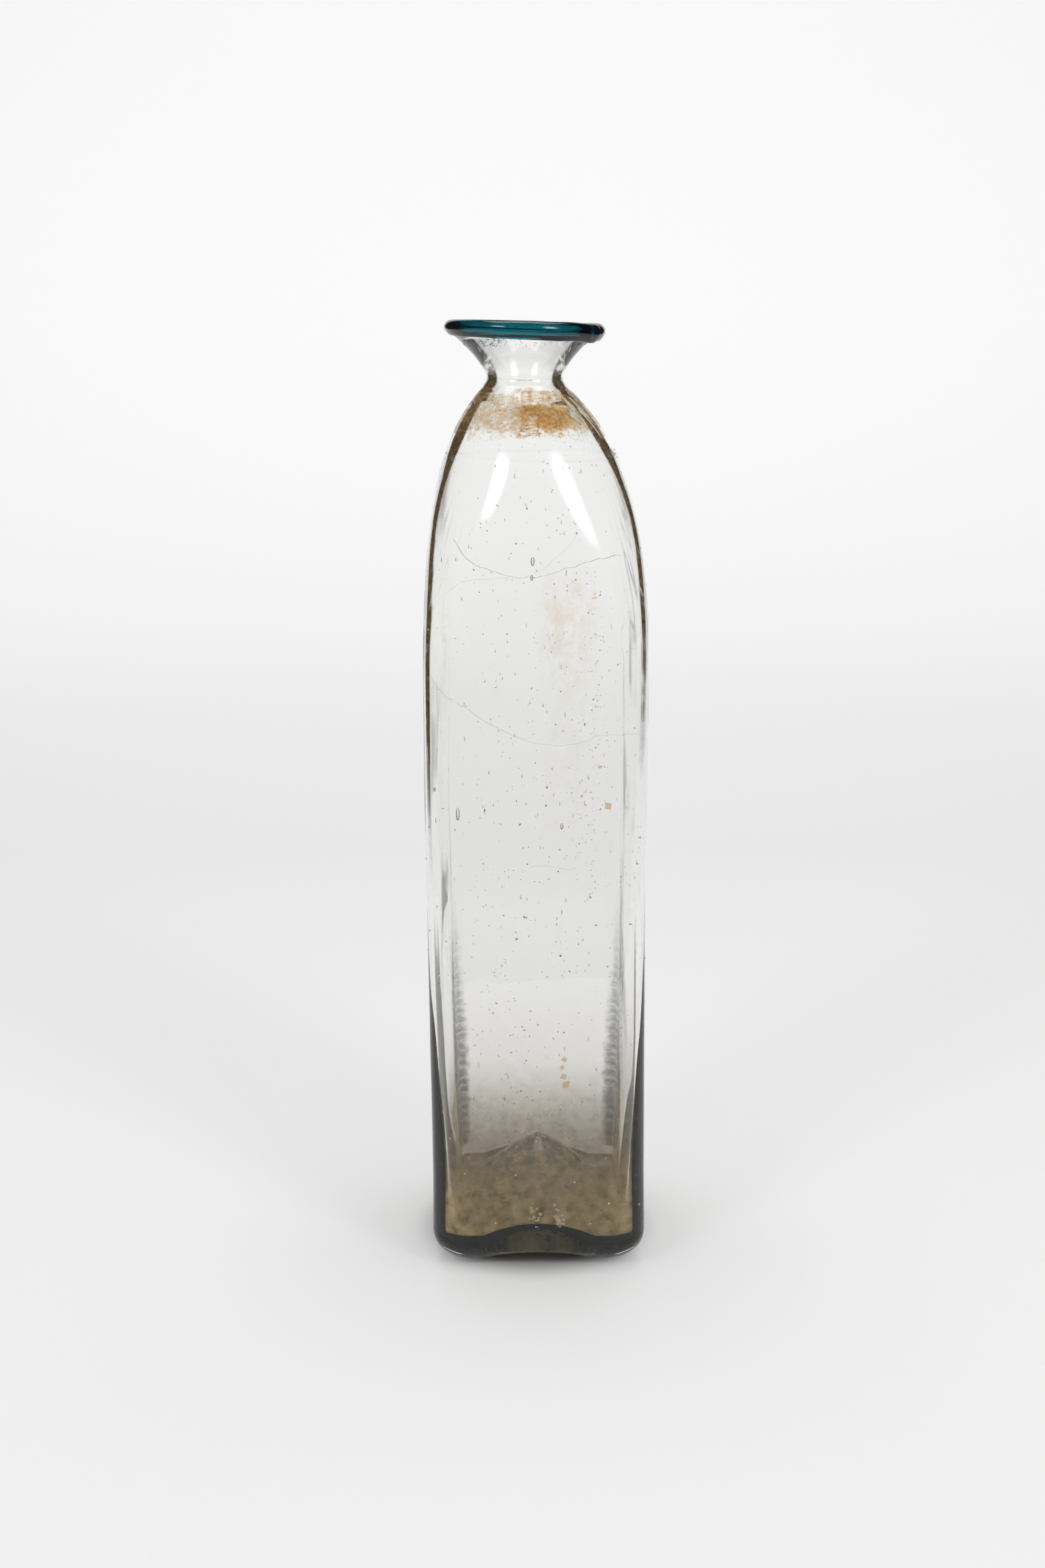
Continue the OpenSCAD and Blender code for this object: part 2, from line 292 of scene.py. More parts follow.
def mouth_r(t):
    """Inside radius of the flare, t from 0 at the bore to 1 at the lip."""
    return BORE_R + (MOUTH_R - BORE_R) * t**FLARE_POWER


def glass_rings():
    """Every ring of the glass, from the kick underneath, up the outside, over the lip and down inside.
    Returns the rings, and how many there are before the flare and before the inside of the shoulder."""
    root, gap = ROOT_Z - 1.9, 0.6
    out = [kick_ring(s) for s in np.linspace(0.02, 1, 50)]
    out += [heel_ring(b) for b in arc(0, 90, 30)]
    out += [outer_shoulder(z) for z in np.linspace(HEEL_R + gap, ROUND_FROM, 260)]
    out += [outer_shoulder(z) for z in np.linspace(ROUND_FROM + gap, root, 160)]
    fillet = bezier((half_at(root), root), (NECK_R + 0.1, ROOT_Z + 0.1), (NECK_R, NECK_Z + 0.2), 12)
    out += [neck_ring(r, z) for r, z in fillet[1:]]
    outside = len(out)
    opening = np.linspace(0.04, 1, 40)
    out += [neck_ring(flare_r(t), NECK_Z + (FLARE_TOP - NECK_Z) * t) for t in opening]
    out += [neck_ring(RIM_R, z) for z in (FLARE_TOP + 0.5, RIM_Z)]
    bead = arc(15, 165, 11)
    out += [neck_ring(RIM_R - RIM_HALF * (1 - math.cos(b)), RIM_Z + RIM_HALF * math.sin(b)) for b in bead]
    out += [neck_ring(MOUTH_R, z) for z in (RIM_Z, FLARE_TOP + 0.4)]
    out += [neck_ring(mouth_r(t), BORE_TOP + (FLARE_TOP - BORE_TOP) * t) for t in np.linspace(1, 0.03, 36)]
    out += [neck_ring(BORE_R, z) for z in np.linspace(BORE_TOP, BORE_BOTTOM + 1.2, 6)]
    out += [neck_ring(r, z) for r, z in bore_fillet()[1:-1]]
    inside = len(out)
    out += [inner_shoulder(z) for z in np.linspace(UNDER_BORE, ROUND_FROM + gap, 110)]
    out += [inner_shoulder(z) for z in np.linspace(ROUND_FROM, FLOOR_T + INNER_HEEL_R + 0.3, 300)]
    out += [floor_heel_ring(b) for b in arc(90, 0, 22)]
    out += [floor_ring(s) for s in np.linspace(0.98, 0.02, 60)]
    return np.array(out), outside, inside


# ---------------- mesh makers
def mesh_object(name, points, faces, smooth_shade=True):
    mesh = bpy.data.meshes.new(name)
    mesh.from_pydata((np.asarray(points) * MM).tolist(), [], faces)
    mesh.update()
    if smooth_shade:
        mesh.polygons.foreach_set("use_smooth", [True] * len(mesh.polygons))
    obj = bpy.data.objects.new(name, mesh)
    bpy.context.scene.collection.objects.link(obj)
    return obj


def piece(obj, material, *replaced, slot="dried_crust"):
    """Gives a mesh its finish, hangs it on the root body and hides the CAD nodes that it stands for. slot
    is not used.
    """
    obj.data.materials.append(material)
    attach(obj, "root")
    if replaced:
        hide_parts(*replaced)
    return obj


def grid_quads(rows, cols, start=0, closed=True, flip=False):
    """Quads of a grid of rows; closed joins the last column to the first."""
    k, i = np.meshgrid(np.arange(rows - 1), np.arange(cols if closed else cols - 1), indexing="ij")
    p = start + k * cols + i
    q = start + k * cols + (i + 1) % cols
    quads = np.stack([p, q, q + cols, p + cols], axis=-1).reshape(-1, 4)
    return quads[:, ::-1] if flip else quads


def tube_object(name, grid):
    """A closed ring of tube, from a grid of points with one row for each section."""
    steps, sides = grid.shape[:2]
    k, i = np.meshgrid(np.arange(steps), np.arange(sides), indexing="ij")
    here, after, beside = k * sides, (k + 1) % steps * sides, (i + 1) % sides
    quads = np.stack([here + i, after + i, after + beside, here + beside], -1)
    return mesh_object(name, grid.reshape(-1, 3), quads.reshape(-1, 4).tolist())


def outer_skin(levels, angles=TURN):
    """Gives the grid of points of a part of the outside wall, moved out of the glass by off."""
    return lambda off: np.array([outer_shoulder(z, off, angles) for z in levels])


def inner_skin(levels, angles=TURN):
    """Gives the grid of points of a part of the inside wall, moved into the hollow by off."""
    return lambda off: np.array([inner_shoulder(z, off, angles) for z in levels])


def film_object(name, skin, off, high_off, closed=True):
    """A thin solid film between two layers of a skin, whose last column meets the first if closed."""
    low, high = skin(off), skin(high_off)
    rows, cols = low.shape[:2]
    n = rows * cols
    quads = [grid_quads(rows, cols, n, closed), grid_quads(rows, cols, 0, closed, flip=True)]
    across = np.arange(cols if closed else cols - 1)
    after = (across + 1) % cols
    last = (rows - 1) * cols
    strips = [(across, after), (last + after, last + across)]
    if not closed:
        up = np.arange(rows - 1) * cols
        right = up + cols - 1
        strips += [(up + cols, up), (right, right + cols)]
    quads += [np.stack([p, q, n + q, n + p], -1) for p, q in strips]
    points = np.vstack([low.reshape(-1, 3), high.reshape(-1, 3)])
    return mesh_object(name, points, np.vstack(quads).tolist())


def solid_mask(mask):
    """Fills cells of a mask that touch only at a corner, so that its outline never pinches."""
    mask = mask.copy()
    a, b, c, d = mask[:-1, :-1], mask[:-1, 1:], mask[1:, :-1], mask[1:, 1:]
    for _ in range(12):
        mask[0] = mask[-1] = False
        mask[:, 0] = mask[:, -1] = False
        first = a & d & ~b & ~c
        second = b & c & ~a & ~d
        if not first.any() and not second.any():
            break
        b |= first
        a |= second
    mask[0] = mask[-1] = False
    mask[:, 0] = mask[:, -1] = False
    return mask


def flake_object(name, low, high, mask, lift):
    """Torn flakes: the cells of a grid that mask keeps, as closed plates between low and high.
    lift is the share of the way to high for every grid point."""
    mask = solid_mask(mask)
    rows, cols = low.shape[:2]
    n = rows * cols
    top = low + (high - low) * lift[..., None]
    k, i = np.nonzero(mask)
    p = k * cols + i
    q, r, s = p + 1, p + cols + 1, p + cols
    quads = [np.stack([n + p, n + q, n + r, n + s], -1), np.stack([s, r, q, p], -1)]
    for dk, di, u, v in ((-1, 0, p, q), (1, 0, r, s), (0, -1, s, p), (0, 1, q, r)):
        edge = ~mask[k + dk, i + di]
        quads.append(np.stack([u, v, n + v, n + u], -1)[edge])
    quads = np.vstack(quads)
    used, index = np.unique(quads, return_inverse=True)
    points = np.vstack([low.reshape(-1, 3), top.reshape(-1, 3)])[used]
    return mesh_object(name, points, index.reshape(-1, 4).tolist())


# a stone with four corners around and two tips
STONE = np.array([[1, 0, 0], [0, 1, 0], [-1, 0, 0], [0, -1, 0], [0, 0, 1], [0, 0, -1]], float)
STONE_FACES = np.array([(k, (k + 1) % 4, 4) for k in range(4)] + [((k + 1) % 4, k, 5) for k in range(4)])


def grains_object(name, places, ways, sizes, flat, long, seed):
    """Many small stones lying on a surface, each with its own size and turn. ways point out of the surface,
    flat and long are the height and the length of a stone as shares of its size."""
    r = np.random.default_rng(seed)
    places, sizes = np.asarray(places), np.asarray(sizes)
    n = len(places)
    normals = ways / np.linalg.norm(ways, axis=1)[:, None]
    side = np.cross(normals, [0.31, 0.17, 0.94])
    side /= np.linalg.norm(side, axis=1)[:, None]
    other = np.cross(normals, side)
    turn = r.uniform(0, 2 * math.pi, n)
    u = side * np.cos(turn)[:, None] + other * np.sin(turn)[:, None]
    v = np.cross(normals, u)
    wide = r.uniform(0.5, 1.1, (n, 6, 1))
    pts = (
        places[:, None]
        + wide * (STONE[None, :, :1] * u[:, None] * (sizes * long)[:, None, None])
        + wide * (STONE[None, :, 1:2] * v[:, None] * sizes[:, None, None])
        + STONE[None, :, 2:] * normals[:, None] * (sizes * flat)[:, None, None]
    )
    faces = (STONE_FACES[None] + 6 * np.arange(n)[:, None, None]).reshape(-1, 3)
    return mesh_object(name, pts.reshape(-1, 3), faces.tolist(), smooth_shade=False)


# ---------------- the vessel
# unrest of the glass: number of waves, shortest and longest in mm, and seed
BROAD = waves(14, 18.0, 60.0, 3)
FINE = waves(22, 4.0, 14.0, 5)
WRINKLE = waves(16, 2.2, 5.0, 9)
FRONT_EDGES, BACK_EDGES = (-135.0, -45.0), (135.0, 45.0)
# how far the glass moves, in mm: broad and fine waves, folds of the back edges and streaks along all edges
BROAD_BY, FINE_BY, FOLD_BY, STREAK_BY = 0.06, 0.005, 0.06, 0.012
# height and rise of the line around the shoulder, and the step down over it
LINE_Z, LINE_BY, STEP_BY = 215.6, 0.10, 0.05


def wall_shift(points, inside):
    """How far each point of the glass moves away from the body's axis, in mm."""
    z = points[..., 2]
    calm = smooth((z - 4) / 12) * (1 - smooth((z - (ROOT_Z - 6)) / 5))
    angle = np.degrees(np.arctan2(points[..., 1], points[..., 0] - body_shift(z)))
    shift = (BROAD_BY * BROAD(points + 40 * inside) + FINE_BY * FINE(points + 90 * inside)) * calm
    # folds at the two back edges of the lower body, running across the edge
    for middle in BACK_EDGES:
        near = np.exp(-(((angle - middle) / 9.0) ** 2))
        low_part = smooth((z - 8) / 12) * (1 - smooth((z - 62) / 40))
        fold = np.sin(z * 2.1 + 2.2 * np.sin(z * 0.31) + 0.05 * angle) + 0.7 * WRINKLE(points)
        shift = shift + FOLD_BY * near * low_part * fold * (1.0 if inside else 0.3)
    # streaks along the upright edges
    for middle in FRONT_EDGES + BACK_EDGES:
        near = np.exp(-(((angle - middle) / 8.0) ** 2))
        shift = shift + STREAK_BY * near * np.sin(angle * 1.5 + 0.4 * np.sin(z * 0.07)) * calm
    if not inside:
        over = z - LINE_Z - 0.5 * np.sin(np.radians(angle) * 2 + 0.6)
        shift = shift + LINE_BY * np.exp(-((over / 0.35) ** 2)) - STEP_BY * smooth(over / 0.8) * calm
    return shift


def displaced(rings, inside):
    z = rings[..., 2]
    mid = np.stack([lean_at(z), np.zeros_like(z)], -1)
    way = rings[..., :2] - mid
    way /= np.maximum(np.linalg.norm(way, axis=-1, keepdims=True), 1e-6)
    out = rings.copy()
    out[..., :2] += way * wall_shift(rings, inside)[..., None]
    return out


def bubble_points(centre, size, steps=6, around=8):
    """A small closed egg, as points and faces that look inwards."""
    down = math.pi * np.arange(1, steps)[:, None] / steps
    turn = 2 * math.pi * np.arange(around)[None] / around
    ways = [np.sin(down) * np.cos(turn), np.sin(down) * np.sin(turn), np.cos(down) + 0 * turn]
    ways = np.vstack([(0, 0, 1), np.stack(ways, -1).reshape(-1, 3), (0, 0, -1)])
    last = 1 + (steps - 2) * around
    faces = [[0, 1 + (i + 1) % around, 1 + i] for i in range(around)]
    faces += grid_quads(steps - 1, around, 1).tolist()
    faces += [[last + i, last + (i + 1) % around, last + around] for i in range(around)]
    return centre + size * ways, faces


# bubbles seen one by one: x and height on the front wall, half width and half height
LARGE_BUBBLES = (
    (-0.9, 191.5, 0.5, 1.1),
    (-1.1, 187.5, 0.36, 0.7),
    (-19.9, 127.3, 0.5, 1.7),
    (6.6, 124.1, 0.35, 0.9),
)
SMALL_BUBBLES = 420


def bubbles():
    """Seeds blown into the wall: a few large ones at the front and many small ones all around."""
    r = np.random.default_rng(21)
    placed = []
    for x, z, wide, tall in LARGE_BUBBLES:
        depth = -(half_at(z) - wall_at(z) * 0.5)
        placed.append((np.array([x, depth, z]), np.array([wide, min(0.42, wide), tall])))
    for _ in range(SMALL_BUBBLES):
        z = r.uniform(22, 226)
        a = np.array([r.uniform(0, 2 * math.pi)])
        share = r.uniform(0.3, 0.7)
        inside, outside = inner_shoulder(z, 0.0, a)[0], outer_shoulder(z, 0.0, a)[0]
        wide = r.uniform(0.07, 0.17)
        size = np.array([wide, wide, wide * r.uniform(1.2, 5.0)])
        placed.append((inside + (outside - inside) * share, size))
    return placed


def front_place(x, z, depth):
    """Point of the front wall at a distance under its outer skin."""
    a = np.array([math.atan2(-half_at(z), x - lean_at(z))])
    return outer_shoulder(z, -depth, a)[0]


# cracks of the front wall: x, height and depth of the crack in mm, from one end to the other
CRACKS = (
    (
        (-24.4, 196.9, 0.42), (-16.5, 191.4, 0.48), (-8.0, 188.4, 0.42), (-1.3, 187.7, 0.42),
        (6.0, 189.2, 0.48), (13.0, 191.6, 0.48), (19.8, 192.6, 0.6), (24.8, 192.6, 0.66),
    ),
    (
        (-23.9, 183.6, 0.24), (-18.9, 186.4, 0.3), (-10.7, 187.4, 0.24), (-1.3, 188.2, 0.24),
        (5.5, 193.0, 0.18), (10.8, 198.9, 0.18),
    ),
    (
        (-28.3, 163.1, 0.36), (-24.2, 158.9, 0.36), (-17.5, 154.8, 0.3), (-10.8, 150.3, 0.3),
        (-0.7, 146.1, 0.24), (9.4, 145.5, 0.24), (16.1, 147.8, 0.24), (27.4, 148.1, 0.24),
    ),
    ((-1.9, 113.0, 0.15), (3.0, 113.6, 0.18), (7.0, 112.6, 0.15), (10.4, 113.2, 0.15)),
)
# half thickness of a crack, and how far under the skin it starts
CRACK_HALF, CRACK_UNDER = 0.010, 0.06


def crack_path(ends, steps):
    """Smooth line through the points of a crack, with a fine unrest."""
    ends = np.array(ends)
    t = np.linspace(0, len(ends) - 1, steps)
    k = np.clip(t.astype(int), 0, len(ends) - 2)
    f = (t - k)[:, None]
    p0, p1 = ends[np.maximum(k - 1, 0)], ends[k]
    p2, p3 = ends[k + 1], ends[np.minimum(k + 2, len(ends) - 1)]
    line = 0.5 * (2 * p1 + (p2 - p0) * f + (2 * p0 - 5 * p1 + 4 * p2 - p3) * f**2)
    line = line + 0.5 * (3 * p1 - p0 - 3 * p2 + p3) * f**3
    noise = waves(12, 1.2, 9.0, 71)
    line[:, 1] += 0.16 * noise(np.stack([line[:, 0], line[:, 1], 0 * t], -1))
    return line


def cracks():
    """Each crack is a very thin leaf of air that leans back from the skin into the front wall."""
    points, faces = [], []
    for ends in CRACKS:
        line = crack_path(ends, 46 * (len(ends) - 1))
        taper = np.sin(np.linspace(0.05, math.pi - 0.05, len(line))) ** 0.4
        rim, root = [], []
        for (x, z, deep), share in zip(line, taper):
            reach = deep * share
            rim.append(front_place(x, z, CRACK_UNDER))
            root.append(front_place(x, z + 0.15 * reach, CRACK_UNDER + 0.95 * reach))
        rim, root = np.array(rim), np.array(root)
        thin = np.array([0, 0, CRACK_HALF])
        start, n = len(points), len(line)
        points += np.concatenate([rim + thin, root + thin, root - thin, rim - thin]).tolist()
        for k in range(n - 1):
            for j in range(4):
                p, q = start + j * n + k, start + (j + 1) % 4 * n + k
                faces.append([p, q, q + 1, p + 1])
        faces.append([start + j * n for j in (3, 2, 1, 0)])
        faces.append([start + j * n + n - 1 for j in range(4)])
    return points, faces


def vessel_mesh():
    rings, outside, inside = glass_rings()
    rings[:outside] = displaced(rings[:outside], 0)
    rings[inside:] = displaced(rings[inside:], 1)
    rows = len(rings)
    tips = np.array([[FOOT_SHIFT, 0, KICK_H], [FOOT_SHIFT, 0, KICK_H + KICK_T]])
    points = np.vstack([rings.reshape(-1, 3), tips]).tolist()
    a, b = rows * AROUND, rows * AROUND + 1
    faces = grid_quads(rows, AROUND).tolist()
    faces += [[a, (i + 1) % AROUND, i] for i in range(AROUND)]
    base = (rows - 1) * AROUND
    faces += [[b, base + i, base + (i + 1) % AROUND] for i in range(AROUND)]
    hollows = [bubble_points(centre, size) for centre, size in bubbles()] + [cracks()]
    for pts, quads in hollows:
        start = len(points)
        points += [list(v) for v in pts]
        faces += [[start + v for v in f] for f in quads]
    return mesh_object("vessel_glass", points, faces)


# ---------------- the lip thread and the pontil scar
# height and its change around, width, and drop from left to right, then angles of the highest place and
# of the end of the thread
THREAD_H, THREAD_VARY, THREAD_T, THREAD_DROP = 4.15, 0.5, 4.0, 1.0
THREAD_HIGH_AT, LUMP_AT = -60.0, -27.0


def thread_object():
    """Glass thread around the lip, its height and width wandering, with its end lapped over its start."""
    steps, sides = 360, 40
    wander = waves(10, 9.0, 40.0, 31)
    deg = np.linspace(0, 360, steps, endpoint=False)
    b = np.linspace(0, 2 * math.pi, sides, endpoint=False)
    a = np.radians(deg)
    gap = (deg - LUMP_AT + 180) % 360 - 180
    # a soft swelling that ends in a step, where the end of the thread was pressed down
    lump = 0.45 * smooth((gap + 16) / 14) * (1 - smooth((gap - 1) / 2.2))
    tall = THREAD_H + THREAD_VARY * np.cos(a - math.radians(THREAD_HIGH_AT)) + lump * 0.8
    top = HEIGHT - THREAD_DROP * (1 + np.cos(a)) / 2
    flow = np.stack([20 * np.cos(a), 20 * np.sin(a), 0 * a], -1)
    drift, sag = 0.16 * wander(flow), 0.10 * wander(flow + 55)
    r0 = LIP_R + 0.3 * THREAD_T - THREAD_T / 2 + drift * 0.6
    # the section leans: fuller at the top outside, thinner towards the lip underneath
    ca, sb = np.cos(b), np.sin(b)
    narrow = 0.60 + 0.40 * smooth((sb + 1.0) / 1.1)
    rad = r0[:, None] + (THREAD_T / 2 + lump[:, None]) * (ca * narrow + 0.35 * (1 - narrow))[None]
    z = (top - tall / 2 + sag)[:, None] + tall[:, None] / 2 * sb[None]
    grid = np.stack([rad * np.cos(a)[:, None] + AXIS_X, rad * np.sin(a)[:, None], z], -1)
    return tube_object("rim_thread_glass", grid)


# the ring of the scar: radius, half width, how far it stands out and how far it is sunk into the glass
SCAR_R, SCAR_HALF, SCAR_STAND, SCAR_SUNK = 5.0, 1.0, 0.75, 0.2


def scar_object():
    """Rough ring of glass left on the kick underneath by the pontil."""
    turn = np.linspace(0, 2 * math.pi, 120, endpoint=False)[:, None]
    lean = np.linspace(0, 2 * math.pi, 14, endpoint=False)[None]
    rad = SCAR_R + SCAR_HALF * np.cos(lean)
    off = np.sin(lean) * np.where(np.sin(lean) < 0, SCAR_STAND, SCAR_SUNK)
    z = kick_z(np.minimum(rad / KICK_W, 1)) + 0.1 + off + 0 * turn
    grid = np.stack([FOOT_SHIFT + rad * np.cos(turn), rad * np.sin(turn), z], -1)
    rough = waves(14, 1.5, 8.0, 61)
    grid += 0.13 * rough(grid)[..., None] * np.array([0.5, 0.5, 1.0])
    return tube_object("pontil_scar_glass", grid)


# ---------------- materials
class Nodes:
    """Short ways to add shader nodes. x, y and z are those of a place, in metres."""

    def __init__(self, tree, kind="ShaderNodeTexCoord", output="Object"):
        self.tree = tree
        self.place = tree.nodes.new(kind).outputs[output]
        self.x, self.y, self.z = self.add("ShaderNodeSeparateXYZ", self.place).outputs

    def put(self, socket, value):
        """Sets a socket to a number or a colour, or joins it to another socket."""
        if isinstance(value, bpy.types.NodeSocket):
            self.tree.links.new(value, socket)
        else:
            socket.default_value = value

    def add(self, kind, *values, **named):
        """A node with its first inputs and its named ones set."""
        node = self.tree.nodes.new(kind)
        for socket, value in zip(node.inputs, values):
            self.put(socket, value)
        for key, value in named.items():
            self.put(node.inputs[key], value)
        return node

    def math(self, kind, *values):
        node = self.add("ShaderNodeMath", *values)
        node.operation = kind
        return node.outputs[0]

    def times(self, value, *others):
        for other in others:
            value = self.math("MULTIPLY", value, other)
        return value

    def plus(self, value, *others):
        for other in others:
            value = self.math("ADD", value, other)
        return value

    def noise(self, size, detail=4.0, stretch=(1, 1, 1), rough=0.6):
        """Noise with features of a size in mm."""
        place = self.add("ShaderNodeMapping", self.place, Scale=[1 / (size * MM * k) for k in stretch])
        look = {"Scale": 1.0, "Detail": detail, "Roughness": rough}
        return self.add("ShaderNodeTexNoise", place.outputs[0], **look).outputs["Fac"]

    def swing(self, noise, reach):
        """Noise as a shift of up to half of reach in mm, either way."""
        return self.times(self.math("SUBTRACT", noise, 0.5), reach * MM)

    def ramp(self, value, low, high, to_low=0.0, to_high=1.0, kind="SMOOTHSTEP"):
        """Goes from to_low to to_high while the value goes from low to high."""
        node = self.add("ShaderNodeMapRange", value, low, high, to_low, to_high)
        node.interpolation_type = kind
        return node.outputs["Result"]

    def along(self, value, low, high, *to, **kind):
        """A ramp between two places in mm."""
        return self.ramp(value, low * MM, high * MM, *to, **kind)

    def off_axis(self):
        """Distance from the axis to the side of the square that a place lies on."""
        return self.math("MAXIMUM", self.math("ABSOLUTE", self.x), self.math("ABSOLUTE", self.y))

    def colours(self, value, shades, places):
        node = self.add("ShaderNodeValToRGB", value)
        ramp = node.color_ramp
        while len(ramp.elements) < len(shades):
            ramp.elements.new(0.5)
        for element, place, colour in zip(ramp.elements, places, shades):
            element.position = place
            element.color = (*colour, 1)
        return node.outputs["Color"]

    def edge_on(self, low, high):
        """Rises from 0 to 1 as the surface turns edge on to the eye."""
        return self.ramp(self.add("ShaderNodeLayerWeight", 0.5).outputs["Facing"], low, high)

    def bump(self, value, depth, shader):
        node = self.add("ShaderNodeBump", Distance=depth * MM, Height=value)
        self.put(shader.inputs["Normal"], node.outputs[0])


def new_material(name, inputs):
    """A material, its tree and its shader, with the inputs of the shader set."""
    mat = bpy.data.materials.new(name)
    mat.use_nodes = True
    shader = mat.node_tree.nodes["Principled BSDF"]
    for key, value in inputs.items():
        shader.inputs[key].default_value = value
    return mat, mat.node_tree, shader


def glass_material(name, tint, absorb, density, rough=0.0):
    """Clear glass that takes more of the light the thicker it is."""
    look = {"Base Color": (*tint, 1), "Roughness": rough, "IOR": 1.5, "Transmission Weight": 1.0}
    mat, tree, _ = new_material(name, look)
    volume = tree.nodes.new("ShaderNodeVolumeAbsorption")
    volume.inputs["Color"].default_value = (*absorb, 1)
    volume.inputs["Density"].default_value = density
    tree.links.new(volume.outputs["Volume"], tree.nodes["Material Output"].inputs["Volume"])
    return mat


STAIN_IOR = 1.05
# near black of the painted shade: the sheets inside the front edges and under the floor crust
PAINTED_SHADE_BLACK = (0.004, 0.005, 0.004), (0.012, 0.013, 0.010)
BROWN_SOIL = (0.12, 0.065, 0.025), (0.30, 0.18, 0.08), (0.50, 0.34, 0.18)


def dirt_and_painted_light_material(name, shades, tone, alpha=None, rough=0.9, through=0.0, gloss=0.25, places=None):
    """Dried matter, and also films and grains of painted shade and painted glints. tone is the size of its
    grain in mm, or builds the share that picks one of the shades, which lie at the places from 0 to 1.
    alpha is a number or builds one. through is the share of light that gets through it."""
    look = {"Roughness": rough, "Specular IOR Level": gloss}
    if through:
        look |= {"Transmission Weight": through, "IOR": STAIN_IOR}
    mat, tree, shader = new_material(name, look)
    nodes = Nodes(tree)
    share = tone(nodes) if callable(tone) else nodes.noise(tone, 6.0, rough=0.7)
    places = np.linspace(0.3, 0.7, len(shades)) if places is None else places
    nodes.put(shader.inputs["Base Color"], nodes.colours(share, shades, places))
    if not callable(tone):
        nodes.bump(nodes.noise(tone * 0.4, 3.0), 0.1, shader)
    if alpha is not None:
        nodes.put(shader.inputs["Alpha"], alpha(nodes) if callable(alpha) else alpha)
    return mat


# ---------------- residues on the shoulder and the neck
# heights where the films inside the shoulder end and where the brown film lies
INSIDE_TOP, FILM_SPAN = 232.0, (217.0, 233.2)
# the brown film and its dense ochre patch: first and last heights of their fades, and the middle in x
FILM_FOOT, FILM_TOP = (221.2, 223.6), (234.5, 231.0)
PATCH_X, PATCH_SIDES, PATCH_TOP = 3.0, (10.5, 5.5), (231.2, 229.2)


def film_alpha(nodes):
    """A thin ragged veil all around the shoulder and a dense patch of ochre at the middle of the front."""
    ragged = nodes.plus(nodes.z, nodes.swing(nodes.noise(3.4, 8.0, (1.5, 1.5, 0.7), 0.75), 24.0))
    band = nodes.times(nodes.along(ragged, *FILM_FOOT), nodes.along(ragged, *FILM_TOP))
    gaps = nodes.ramp(nodes.noise(2.0, 7.0, (1.4, 1.4, 0.9), 0.7), 0.44, 0.54, 0.25, 1.0)
    fine = nodes.ramp(nodes.noise(0.9, 6.0, (1.6, 1.6, 0.7), 0.8), 0.34, 0.62, 0.12, 0.58)
    torn = nodes.noise(2.4, 8.0, (1, 1, 1.2), 0.75)
    aside = nodes.plus(nodes.math("SUBTRACT", nodes.x, PATCH_X * MM), nodes.swing(torn, 20.0))
    middle = nodes.along(nodes.math("ABSOLUTE", aside), *PATCH_SIDES)
    middle = nodes.times(middle, nodes.along(ragged, *PATCH_TOP))
    dense = nodes.times(band, middle, nodes.ramp(torn, 0.40, 0.50, 0.25, 0.95))
    return nodes.math("MAXIMUM", nodes.times(band, gaps, fine), dense)


def shoulder_film():
    film = film_object("shoulder_film", outer_skin(np.linspace(*FILM_SPAN, 100)), 0.03, 0.10)
    shades = (0.40, 0.18, 0.04), (0.70, 0.42, 0.15), (0.86, 0.64, 0.36), (0.95, 0.85, 0.66)
    places = (0.32, 0.46, 0.60, 0.75)
    look = dirt_and_painted_light_material("brown_film", shades, 1.1, film_alpha, 0.3, through=0.6, places=places)
    piece(film, look, "shoulder_film", slot="brown_film")


def ochre_flakes():
    """Thick ochre crusts in the film, as real torn plates."""
    skin = outer_skin(np.linspace(220.0, 231.2, 120), arc(-165, -15, 460))
    low, high = skin(0.11), skin(0.36)
    noise = ValueNoise(4)
    level = noise(low, 4.2, 5, (1.5, 1.5, 0.8)) * 0.8 + noise(low + 50, 0.8, 3) * 0.2
    z = low[..., 2]
    band = smooth((z - 221.5) / 2.5) * (1 - smooth((z - 228.0) / 2.5))
    middle = np.exp(-(((low[..., 0] - 2.5) / 5.5) ** 2))
    mask = (level > 0.82 - 0.06 * band - 0.28 * band * middle)[:-1, :-1]
    lift = np.clip(0.35 + 1.6 * (level - 0.5), 0.2, 1.0)
    flakes = flake_object("shoulder_film_flakes", low, high, mask, lift)
    shades = (0.36, 0.17, 0.04), (0.62, 0.36, 0.11), (0.78, 0.55, 0.25)
    piece(flakes, dirt_and_painted_light_material("ochre_crust", shades, 0.8), slot="brown_film")


def pale_flakes():
    """Grey-green flakes with streaks running down the right of the shoulder."""
    angles = arc(-72, -8, 300)
    skin = outer_skin(np.linspace(213.0, 232.0, 210), angles)
    low, high = skin(0.12), skin(0.42)
    noise = ValueNoise(12)
    z, deg = low[..., 2], np.degrees(angles)[None, :]
    slant = low + np.stack([0.8 * (z - 226), 0 * z, 0 * z], -1)
    level = noise(slant, 1.7, 5, (0.6, 0.6, 2.4))
    place = np.exp(-(((z - 227.3) / 3.6) ** 2) - (((deg + 40 + (z - 227) * 1.1) / 13.0) ** 2))
    streak = np.exp(-(((deg + 22 + (z - 222) * 0.9) / 6.0) ** 2)) * smooth((z - 213.5) / 3.0)
    mask = (level > 0.80 - 0.38 * place - 0.22 * streak)[:-1, :-1]
    lift = np.clip(0.3 + 2.0 * (level - 0.45), 0.2, 1.0)
    flakes = flake_object("label_flakes", low, high, mask, lift)
    shades = (0.38, 0.36, 0.26), (0.60, 0.58, 0.45), (0.76, 0.75, 0.62)
    piece(flakes, dirt_and_painted_light_material("pale_flakes", shades, 0.9), "label_flakes", slot="pale_flakes")


